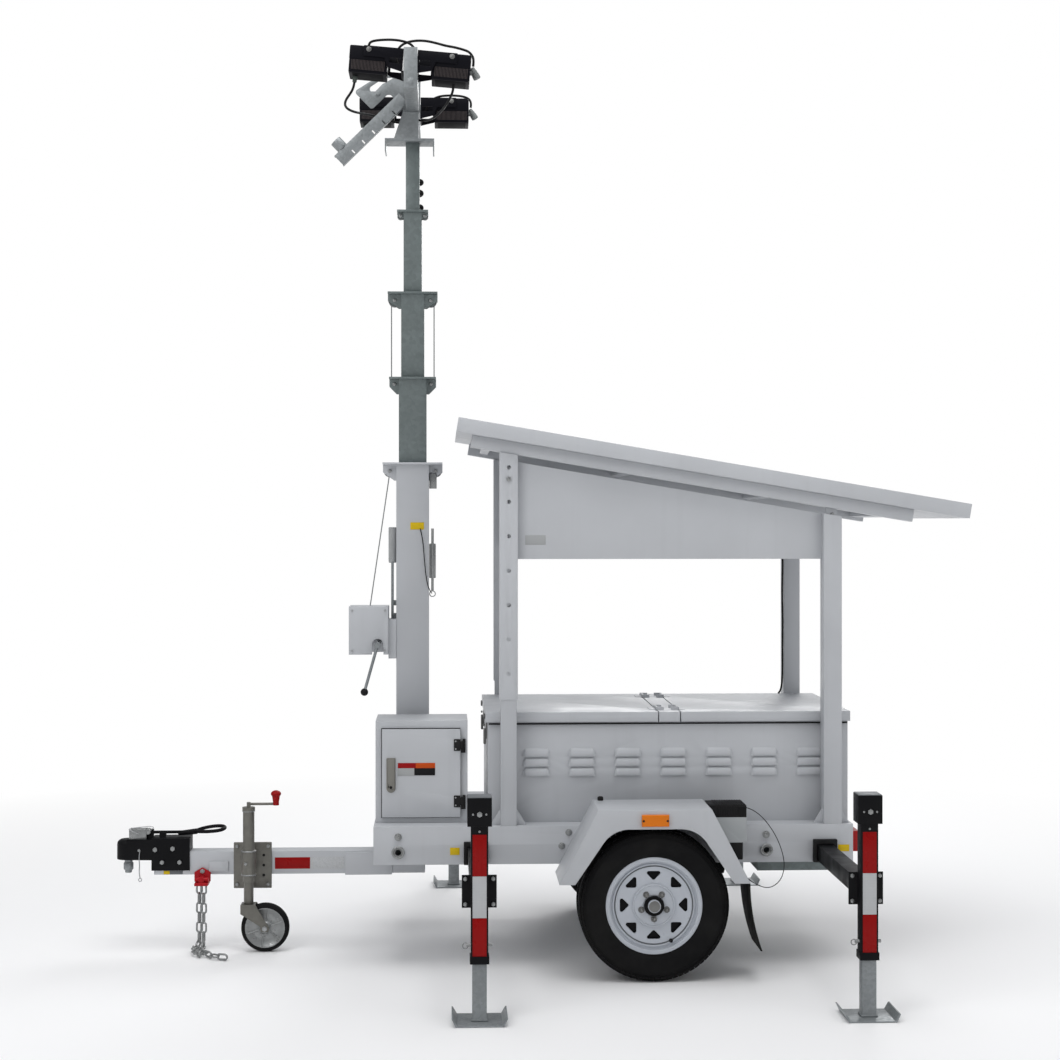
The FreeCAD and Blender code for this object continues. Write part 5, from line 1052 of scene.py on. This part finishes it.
def make_tapes():
    """Reflective strips on the legs, the drawbar and the back."""
    for end, side, direction in corners:
        low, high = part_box("foot_%s_%s" % (end, side))
        x = (low.x + high.x) / 2
        face = direction * (leg_y + leg_half)
        for number, material in enumerate(("tape_red", "tape_white", "tape_red")):
            z1 = 0.738 - number * 0.1635
            tape("leg_tape_%s_%s_%d" % (end, side, number), x - 0.0275, x + 0.0275, face, direction,
                 z1 - 0.163, z1, material, body_of("outrigger_%s_%s" % (end, side)))
    strips = ((-1.19, -1.028, "tape_red"), (-1.027, -0.870, "tape_white"))
    for number, (x0, x1, material) in enumerate(strips):
        for side, direction in sides:
            tape("bar_tape_%d_%s" % (number, side), x0, x1, direction * 0.050, direction,
                 0.358, 0.411, material, "chassis")
    for side, direction in sides:
        y0, y1 = sorted((direction * 0.05, direction * 0.23))
        strip = slab("back_tape_" + side, (frame_back_x, y0, 0.52), (frame_back_x + 0.0008, y1, 0.57), 0.0003)
        fit(strip, "tape_red", "chassis", "white_paint")


def make_leg_details():
    """Cap plates, bolts, a locking pin with its ring and the foot's weld on each jack leg."""
    for end, side, direction in corners:
        node = "outrigger_%s_%s" % (end, side)
        foot = "foot_%s_%s" % (end, side)
        low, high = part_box(foot)
        x = (low.x + high.x) / 2
        y = direction * leg_y
        bolts = []
        for dx, size in ((0.0, 0.0115), (-0.026, 0.0045), (0.026, 0.0045)):
            head = (x + dx, y + direction * 0.048, 0.819)
            bolts.append(hex_nut("bolt", head, (0, direction, 0), size, size * 0.5))
        bolts.append(hex_nut("bolt", (x, y + direction * leg_half, 0.750), (0, direction, 0), 0.005, 0.003))
        for dx in (-0.055, 0.055):
            for z in (0.453, 0.553):
                head = (x + dx, y - direction * leg_half, z)
                bolts.append(hex_nut("bolt", head, (0, direction, 0), 0.009, 0.007))
        bolts.append(bar("pin", (x - 0.052, y, 0.300), (x + 0.052, y, 0.300), 0.007))
        bolts.append(ring("pull_ring", (x - 0.056, y, 0.296), (0, 1, 0), 0.011, 0.0022, 24))
        fit(joined("leg_bolts_%s_%s" % (end, side), bolts), "bright_zinc", body_of(node), "galvanised")
        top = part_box(node)[1].z
        cap = slab("leg_cap_%s_%s" % (end, side), (x - 0.0465, y - 0.0465, top - 0.002),
                   (x + 0.0465, y + 0.0465, top + 0.003), 0.0015)
        fit(cap, "shadow_grey", body_of(node), "black_paint")
        weld = slab("foot_weld_%s_%s" % (end, side), (x - leg_half, y - leg_half, 0.006),
                    (x + leg_half, y + leg_half, 0.014), 0.0035)
        fit(weld, "galvanised", body_of(foot), "galvanised")


def make_jockey_wheel():
    """The jockey wheel's tyre, pressed disc, spokes and axle nuts."""
    x = jockey_x
    y = jockey_y
    z = jockey_z
    rings = ((-0.024, 0.088), (-0.0265, 0.094), (-0.026, 0.102), (-0.018, 0.1085), (0.0, 0.1100))
    profile = list(rings) + [(-a, r) for a, r in reversed(rings[:-1])] + [rings[0]]
    tyre = spun_profile("jockey_tyre", profile, (x, y, z), 56)
    bpy.ops.object.shade_smooth_by_angle(angle=math.radians(50))
    fit(tyre, "tyre_rubber", "jockey_roller", "tyre_rubber", "jockey_wheel")
    half = (
        (-0.021, 0.0075), (-0.029, 0.012), (-0.029, 0.022), (-0.017, 0.030), (-0.0125, 0.058),
        (-0.018, 0.068), (-0.0215, 0.083), (-0.0265, 0.0885), (-0.0265, 0.0905),
    )
    profile = list(half) + [(-a, r) for a, r in reversed(half)] + [half[0]]
    disc = spun_profile("jockey_disc", profile, (x, y, z), 48)
    bpy.ops.object.shade_smooth_by_angle(angle=math.radians(50))
    fit(disc, "bright_zinc", "jockey_roller", "galvanised")
    spokes = []
    for number in range(6):
        angle = math.radians(60 * number + 20)
        inner = (x + 0.026 * math.cos(angle), z + 0.026 * math.sin(angle))
        outer = (x + 0.084 * math.cos(angle), z + 0.084 * math.sin(angle))
        for out in (-1, 1):
            spokes.append(bar("spoke", (inner[0], y + out * 0.014, inner[1]),
                              (outer[0], y + out * 0.0185, outer[1]), 0.0045, 0.0, 12))
    fit(joined("jockey_spokes", spokes), "bright_zinc", "jockey_roller", "galvanised")
    nuts = [
        hex_nut("axle_nut", (x, y - 0.040, z), (0, -1, 0), 0.012, 0.009),
        hex_nut("axle_head", (x, y + 0.040, z), (0, 1, 0), 0.012, 0.007),
    ]
    fit(joined("jockey_axle_nuts", nuts), "steel", "jockey_caster", "galvanised")


def make_jockey_clamp():
    """Red mushroom grip on the crank, the clamp's plate with black discs of painted shade in its holes, its
    bolts, and the tube's rings.
    """
    stem_x = jockey_stem_x
    y = jockey_y
    grip = [
        ball("knob", (stem_x + 0.124, y, 0.718), 0.0235, 0.68),
        bar("skirt", (stem_x + 0.124, y, 0.684), (stem_x + 0.124, y, 0.712), 0.0145, 0.002,
            end_radius=0.0185),
    ]
    fit(joined("jockey_grip", grip), "tag_red", "chassis", "black_plastic")
    plate = slab("clamp_plate", (-1.378, -0.0605, 0.272), (-1.2035, -0.0525, 0.484), 0.0035)
    fit(plate, "brown_zinc", "chassis", "galvanised")
    bolts = []
    for x_bolt in (-1.362, -1.220):
        for z_bolt in (0.290, 0.466):
            bolts.append(hex_nut("bolt", (x_bolt, -0.060, z_bolt), (0, -1, 0), 0.0085, 0.007))
    # Black discs on the plate's holes: painted shade for the dark seen through them.
    holes = []
    for z_hole in (0.332, 0.378, 0.424):
        holes.append(bar("hole", (-1.240, -0.0595, z_hole), (-1.240, -0.0612, z_hole), 0.0065, 0.0004))
    fit(joined("clamp_holes", holes), "black_plastic", "chassis", "galvanised")
    for z_ring, radius, thick in ((0.350, 0.031, 0.004), (0.458, 0.031, 0.004), (0.640, 0.0265, 0.003)):
        bolts.append(ring("tube_ring", (stem_x, y, z_ring), (0, 0, 1), radius, thick))
    screw_x = stem_x - 0.010
    bolts.append(bar("clamp_screw", (screw_x, y - 0.045, 0.405), (screw_x, y - 0.020, 0.405), 0.007))
    fit(joined("jockey_clamp_bolts", bolts), "bright_zinc", "chassis", "galvanised")


def make_coupler_bolts():
    """Bolts on both sides, the latch on top and the adjuster below the nose."""
    silver = []
    places = (
        (-1.705, 0.065, 0.395, 0.0105), (-1.625, 0.065, 0.395, 0.0105), (-1.738, 0.056, 0.452, 0.0115),
        (-1.658, 0.056, 0.456, 0.0115), (-1.812, 0.050, 0.448, 0.007),
    )
    for x, y, z, size in places:
        for out in (-1, 1):
            silver.append(hex_nut("bolt", (x, out * y, z), (0, out, 0), size, size * 0.75))
    for y in (-0.0245, 0.0245):
        silver.append(slab("latch_cheek", (-1.862, y - 0.003, 0.492), (-1.782, y + 0.003, 0.541), 0.002))
    silver.append(slab("latch_bridge", (-1.858, -0.024, 0.531), (-1.790, 0.024, 0.5395), 0.003))
    silver.append(bar("latch_roll", (-1.776, -0.024, 0.528), (-1.776, 0.024, 0.528), 0.0125, 0.002))
    silver.append(bar("latch_pin", (-1.816, -0.033, 0.520), (-1.816, 0.033, 0.520), 0.0055))
    fit(joined("coupler_bolts", silver), "bright_zinc", "chassis", "galvanised")
    adjuster = [
        bar("stud", (-1.868, 0, 0.404), (-1.868, 0, 0.386), 0.018, 0.001),
        bar("cup", (-1.868, 0, 0.388), (-1.868, 0, 0.350), 0.0225, 0.007),
        bar("tip", (-1.868, 0, 0.352), (-1.868, 0, 0.338), 0.016, 0.004),
    ]
    fit(joined("coupler_adjuster", adjuster), "galvanised", "chassis", "galvanised")


def make_lever_grip():
    """The round loop at the lever's end."""
    grip = [
        wire("loop", (
            (-1.560, -0.006, 0.527), (-1.536, -0.026, 0.529), (-1.490, -0.040, 0.531),
            (-1.440, -0.036, 0.536), (-1.420, 0.0, 0.542), (-1.440, 0.036, 0.546), (-1.490, 0.040, 0.543),
            (-1.536, 0.026, 0.535), (-1.560, 0.006, 0.528)), 0.0082, closed=True),
        bar("neck", (-1.640, 0.0, 0.518), (-1.552, 0.0, 0.527), 0.0105, 0.003, end_radius=0.0135),
    ]
    fit(joined("lever_grip", grip), "black_paint", "chassis", "black_paint")


def make_latch_wires():
    """The latch's spring wire and the pin that hangs beside it, with the blank plates below."""
    wires = [
        wire("latch_wire", (
            (-1.816, -0.036, 0.520), (-1.858, -0.036, 0.538), (-1.862, -0.035, 0.547),
            (-1.800, -0.034, 0.554), (-1.752, -0.034, 0.557), (-1.748, -0.034, 0.546),
            (-1.766, -0.034, 0.534)), 0.0016),
        wire("pin_chain", (
            (-1.808, -0.052, 0.446), (-1.812, -0.057, 0.420), (-1.808, -0.058, 0.380),
            (-1.811, -0.058, 0.345), (-1.806, -0.058, 0.322)), 0.0024),
        ring("pin_chain_end", (-1.806, -0.058, 0.314), (0, 1, 0), 0.007, 0.002, 20),
    ]
    fit(joined("latch_wires", wires), "steel", "chassis", "galvanised")
    plates = (("tag_yellow", -1.700, -1.672, 0.337, 0.353), ("shadow_grey", -1.672, -1.612, 0.337, 0.353))
    for number, (material, x0, x1, z0, z1) in enumerate(plates):
        plate = slab("coupler_plate_%d" % number, (x0, -0.0508, z0), (x1, -0.0495, z1), 0.0003)
        fit(plate, material, "chassis", "black_paint")


def make_mast_sheaves():
    """Sheave rims and bolts between the cheeks under the top plate of every stage but the last."""
    # Body, half its width, its top and how far out its plate reaches
    rows = (
        ("chassis", 0.075, 2.235, 0.138), ("mast_stage_2", 0.0635, 2.630, 0.108),
        ("mast_stage_3", 0.053, 3.025, 0.115), ("mast_stage_4", 0.042, 3.405, 0.072),
    )
    for number, (body, half, top, reach) in enumerate(rows):
        pieces = []
        for out in (-1, 1):
            centre = mast_x + out * (half + (reach - half) * 0.5)
            radius = min(0.027, (reach - half) * 0.42)
            z = top - 0.010 - radius - 0.002
            for y in (-0.007, 0.007):
                pieces.append(ring("sheave_rim", (centre, y, z), (0, 1, 0), radius, 0.0022, 36))
            for y, face in ((-0.030, -1), (0.030, 1)):
                pieces.append(hex_nut("sheave_bolt", (centre, y, z), (0, face, 0), 0.009, 0.007))
        fit(joined("mast_sheaves_%d" % (number + 1), pieces), "bright_zinc", body, "galvanised")


def make_mast_wires():
    """Two lift wires beside the mast, and the winch's wire up the outer tube."""
    lower_z = 2.622
    upper_z = 2.985
    strands = []
    for out in (-1, 1):
        x = mast_x + out * 0.099
        strands.append(bar("strand", (x, 0.0, lower_z), (x, 0.0, upper_z), 0.0026, 0.0, 12))
    cables = paint(joined("lift_cables", strands), finish["cable"])
    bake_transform(cables)
    line = bar("winch_wire", (-0.754, -0.010, 1.560), (-0.664, -0.010, 2.175), 0.0026, 0.0, 12)
    fit(line, "cable", "chassis", "galvanised")


def make_lock_pin():
    """Lock pin on its bracket, with the blank tag above and the lanyard between them."""
    lock = [
        slab("lock_bracket", (-0.478, -0.055, 1.700), (-0.448, -0.020, 1.860), 0.003),
        bar("lock_pin", (-0.463, -0.064, 1.640), (-0.463, -0.064, 1.930), 0.006),
        ring("lock_ring", (-0.463, -0.064, 1.628), (0, 1, 0), 0.013, 0.0022, 24),
        slab("small_bracket", (-0.478, -0.040, 2.115), (-0.444, 0.0, 2.185), 0.002),
    ]
    fit(joined("mast_lock_pin", lock), "bright_zinc", "chassis", "galvanised")
    tag = slab("mast_tag", (-0.565, -0.0768, 1.925), (-0.502, -0.0750, 1.958), 0.0003)
    fit(tag, "tag_yellow", "chassis", "white_paint")
    lanyard = wire("pin_lanyard", (
        (-0.520, -0.078, 1.930), (-0.512, -0.082, 1.900), (-0.505, -0.084, 1.850), (-0.500, -0.085, 1.780),
        (-0.492, -0.084, 1.700), (-0.480, -0.078, 1.650), (-0.466, -0.070, 1.630)), 0.0022)
    fit(lanyard, "black_plastic", "chassis", "black_plastic")


def make_head_bolts():
    """Bolts in the mast's head and in the lamp bar's upright plates."""
    head = [
        hex_nut("head_bolt", (-0.715, -0.047, 3.943), (0, -1, 0), 0.010, 0.008),
        hex_nut("face_bolt", (-0.570, -0.047, 3.890), (0, -1, 0), 0.009, 0.007),
        hex_nut("upright_bolt", (-0.556, -0.578, 3.880), (0, -1, 0), 0.012, 0.008),
        bar("upright_washer", (-0.556, -0.578, 3.880), (-0.556, -0.5805, 3.880), 0.017),
        hex_nut("upright_bolt_far", (-0.556, 0.578, 3.880), (0, 1, 0), 0.012, 0.008),
    ]
    fit(joined("head_bolts", head), "galvanised", "mast_stage_5", "galvanised")


def make_mast_cable():
    """Loops of the lamps' cable behind the top stage."""
    route = []
    for z in (3.430, 3.498, 3.550):
        route += [(mast_x, 0.043, z - 0.0095), (mast_x + 0.041, 0.043, z - 0.0095),
                  (mast_x + 0.041, 0.043, z + 0.0095), (mast_x, 0.043, z + 0.0095)]
    loops = paint(wire("mast_cable", route, 0.0095), finish["black_plastic"])
    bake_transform(loops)


def make_winch_details():
    """Black ball grip on the working crank, a grey grip on the stored one, and case screws."""
    grip = [ball("ball", (-0.774, -0.140, 1.181), 0.0175)]
    stored = [
        bar("stored_grip", (-0.650, 0.020, 1.772), (-0.650, 0.020, 1.936), 0.0185, 0.005),
        ring("grip_ring", (-0.650, 0.020, 1.790), (0, 0, 1), 0.0175, 0.002, 28),
    ]
    fit(joined("crank_ball", grip), "black_plastic", "chassis", "black_plastic")
    fit(joined("stored_grip", stored), "tag_grey", "chassis", "black_plastic")
    screws = []
    for x in (-0.832, -0.681):
        for z in (1.368, 1.553):
            screws.append(hex_nut("screw", (x, -0.110, z), (0, -1, 0), 0.006, 0.004))
    fit(joined("winch_screws", screws), "steel", "chassis", "galvanised")


def make_fender_fittings():
    """Marker lamp screws, black rubber stops and fixing bolts."""
    screws = []
    stops = []
    bolts = []
    for out in (-1, 1):
        for x in (wheel_x - 0.051, wheel_x + 0.051):
            screws.append(bar("marker_screw", (x, out * 0.865, 0.696), (x, out * 0.8687, 0.696), 0.005))
        stops.append(bar("stop", (0.275, out * 0.562, 0.738), (0.275, out * 0.562, 0.758), 0.013, 0.006))
        for x, z in ((0.138, 0.597), (0.107, 0.538)):
            bolts.append(bar("washer", (x, out * frame_side_y, z), (x, out * 0.542, z), 0.015))
            bolts.append(hex_nut("bolt", (x, out * 0.5415, z), (0, out, 0), 0.0115, 0.008))
    fit(joined("marker_ends", screws), "black_plastic", "chassis", "amber_lens")
    fit(joined("fender_stops", stops), "black_plastic", "chassis", "black_plastic")
    fit(joined("fender_bolts", bolts), "bright_zinc", "chassis", "galvanised")


def make_chocks():
    """Grey wheel chocks with black ends and ribs, each on its wire."""
    chock = paint(soften(node_copy("wheel_chocks"), 0.004), finish["chock_plastic"])
    grey_low = 0.573
    grey_high = 0.682
    for height in (grey_low, grey_high):
        cut_level(chock, height)
    repaint(chock, "black_plastic", lambda centre: centre.z > grey_high or centre.z < grey_low)
    seat(chock, "chassis", "chock_plastic", "wheel_chocks")
    ribs = []
    for out in (-1, 1):
        for number in range(12):
            x = 0.766 + number * 0.011
            y0, y1 = sorted((out * 0.689, out * 0.6925))
            ribs.append(slab("rib", (x, y0, 0.688), (x + 0.0055, y1, 0.730), 0.001))
            y0, y1 = sorted((out * 0.545, out * 0.686))
            ribs.append(slab("rib", (x, y0, 0.734), (x + 0.0055, y1, 0.738), 0.001))
    fit(joined("chock_ribs", ribs), "black_plastic", "chassis", "black_plastic")
    for side, out in sides:
        loop = wire("chock_wire_" + side, (
            (0.862, out * 0.694, 0.728), (0.900, out * 0.700, 0.730), (0.965, out * 0.704, 0.690),
            (1.030, out * 0.706, 0.600), (1.066, out * 0.706, 0.490), (1.050, out * 0.704, 0.410),
            (0.995, out * 0.702, 0.372), (0.930, out * 0.700, 0.396), (0.895, out * 0.700, 0.425)), 0.0018)
        fit(loop, "black_plastic", "chassis", "black_plastic")


def make_frame_details():
    """Beads and bolts of the lashing eyes, blank tags and the cable down the far rear post."""
    eye_z = 0.516
    bolt_z = 0.582
    beads = []
    for x in (-0.610, 1.010):
        for out in (-1, 1):
            beads.append(ring("eye_bead", (x, out * 0.5525, eye_z), (0, 1, 0), 0.0235, 0.0055, 48))
            beads.append(ring("eye_lip", (x, out * 0.5515, eye_z), (0, 1, 0), 0.0155, 0.0025, 48))
            beads.append(bar("eye_washer", (x, out * frame_side_y, bolt_z), (x, out * 0.5425, bolt_z), 0.0165))
            beads.append(hex_nut("eye_bolt", (x, out * 0.542, bolt_z), (0, out, 0), 0.0125, 0.010))
    fit(joined("eye_beads", beads), "bright_zinc", "chassis", "galvanised")
    tags = [
        slab("tag", (-0.383, -0.5412, 0.502), (-0.341, -0.5398, 0.534), 0.0003),
        slab("tag", (1.330, -0.5412, 0.505), (1.380, -0.5398, 0.535), 0.0003),
    ]
    fit(joined("frame_tags", tags), "tag_yellow", "chassis", "white_paint")
    label = slab("panel_label", (-0.052, -0.5026, 1.860), (0.038, -0.5014, 1.902), 0.0003)
    fit(label, "tag_grey", "chassis", "white_paint")
    cable = wire("post_cable", (
        (1.262, 0.462, 1.98), (1.256, 0.456, 1.92), (1.259, 0.455, 1.84), (1.262, 0.456, 1.74),
        (1.258, 0.456, 1.62), (1.262, 0.457, 1.48), (1.260, 0.456, 1.34), (1.261, 0.456, 1.20),
        (1.250, 0.440, 1.125), (1.235, 0.425, 1.118)), 0.0045)
    fit(cable, "lead_jacket", "chassis", "black_plastic")


def make_post_bolts():
    """The bolts that hold the roof's beams to its posts."""
    bolts = []
    for out in (-1, 1):
        bolts.append(hex_nut("post_bolt", (-0.126, out * 0.540, 2.149), (0, out, 0), 0.011, 0.008))
        bolts.append(hex_nut("post_bolt", (1.307, out * 0.522, 1.995), (0, out, 0), 0.010, 0.008))
    fit(joined("post_bolts", bolts), "bright_zinc", "chassis", "galvanised")


def make_stage():
    """White floor that keeps the shadow near the trailer, white surroundings and four soft lights."""
    bpy.ops.mesh.primitive_plane_add(size=60, location=(0, 0, 0))
    floor = bpy.context.object
    floor.name = "floor"
    ground = Finish("floor_white", roughness=0.9)
    ground.shader.inputs["Base Color"].default_value = (0.9, 0.9, 0.905, 1.0)
    tree = ground.tree
    glow = ground.node("ShaderNodeEmission")
    glow.inputs["Color"].default_value = (1, 1, 1, 1)
    distance = ground.node("ShaderNodeVectorMath", operation="LENGTH")
    ground.link(ground.place, distance.inputs[0])
    far = ground.ranged(distance.outputs["Value"], 2.6, 6.0)
    blend = ground.node("ShaderNodeMixShader")
    ground.link(far, blend.inputs[0])
    ground.link(ground.shader.outputs[0], blend.inputs[1])
    ground.link(glow.outputs[0], blend.inputs[2])
    ground.link(blend.outputs[0], tree.nodes["Material Output"].inputs["Surface"])
    paint(floor, ground.material)

    world = bpy.data.worlds.new("studio")
    bpy.context.scene.world = world
    world.use_nodes = True
    tree = world.node_tree
    dim = tree.nodes["Background"]
    dim.inputs["Color"].default_value = (0.97, 0.98, 1.0, 1.0)
    dim.inputs["Strength"].default_value = 0.45
    bright = tree.nodes.new("ShaderNodeBackground")
    bright.inputs["Color"].default_value = (1, 1, 1, 1)
    rays = tree.nodes.new("ShaderNodeLightPath")
    seen = tree.nodes.new("ShaderNodeMath")
    seen.operation = "MAXIMUM"
    tree.links.new(rays.outputs["Is Camera Ray"], seen.inputs[0])
    tree.links.new(rays.outputs["Is Transmission Ray"], seen.inputs[1])
    mix = tree.nodes.new("ShaderNodeMixShader")
    tree.links.new(seen.outputs[0], mix.inputs[0])
    tree.links.new(dim.outputs[0], mix.inputs[1])
    tree.links.new(bright.outputs[0], mix.inputs[2])
    tree.links.new(mix.outputs[0], tree.nodes["World Output"].inputs["Surface"])

    lights = (
        ("top", (0.0, -1.2, 8.2), 6.0, 320.0), ("key", (-4.5, -6.0, 6.5), 4.0, 140.0),
        ("fill", (6.0, -5.0, 3.5), 4.0, 50.0), ("back", (2.0, 6.5, 5.5), 4.0, 230.0),
    )
    for name, place, size, power in lights:
        data = bpy.data.lights.new(name, "AREA")
        data.size = size
        data.energy = power
        light = bpy.data.objects.new(name, data)
        light.location = place
        light.rotation_euler = (Vector((0, 0, 1.2)) - Vector(place)).to_track_quat("-Z", "Y").to_euler()
        bpy.context.scene.collection.objects.link(light)
    bpy.context.scene.view_settings.view_transform = "Standard"


make_camera()
make_leads()
for side, direction in sides:
    make_tyre(side, direction)
    make_rim(side, direction)
make_softened_nodes()
make_chains()
make_chain_hook()
for end, side, direction in corners:
    make_lamp(end, side, direction)
make_louvres()
make_box_fittings()
make_door_handle()
make_door_gasket()
make_door_hinges()
make_door_plates()
make_tapes()
make_leg_details()
make_jockey_wheel()
make_jockey_clamp()
make_coupler_bolts()
make_lever_grip()
make_latch_wires()
make_mast_sheaves()
make_mast_wires()
make_lock_pin()
make_head_bolts()
make_mast_cable()
make_winch_details()
make_fender_fittings()
make_chocks()
make_frame_details()
make_post_bolts()
make_stage()
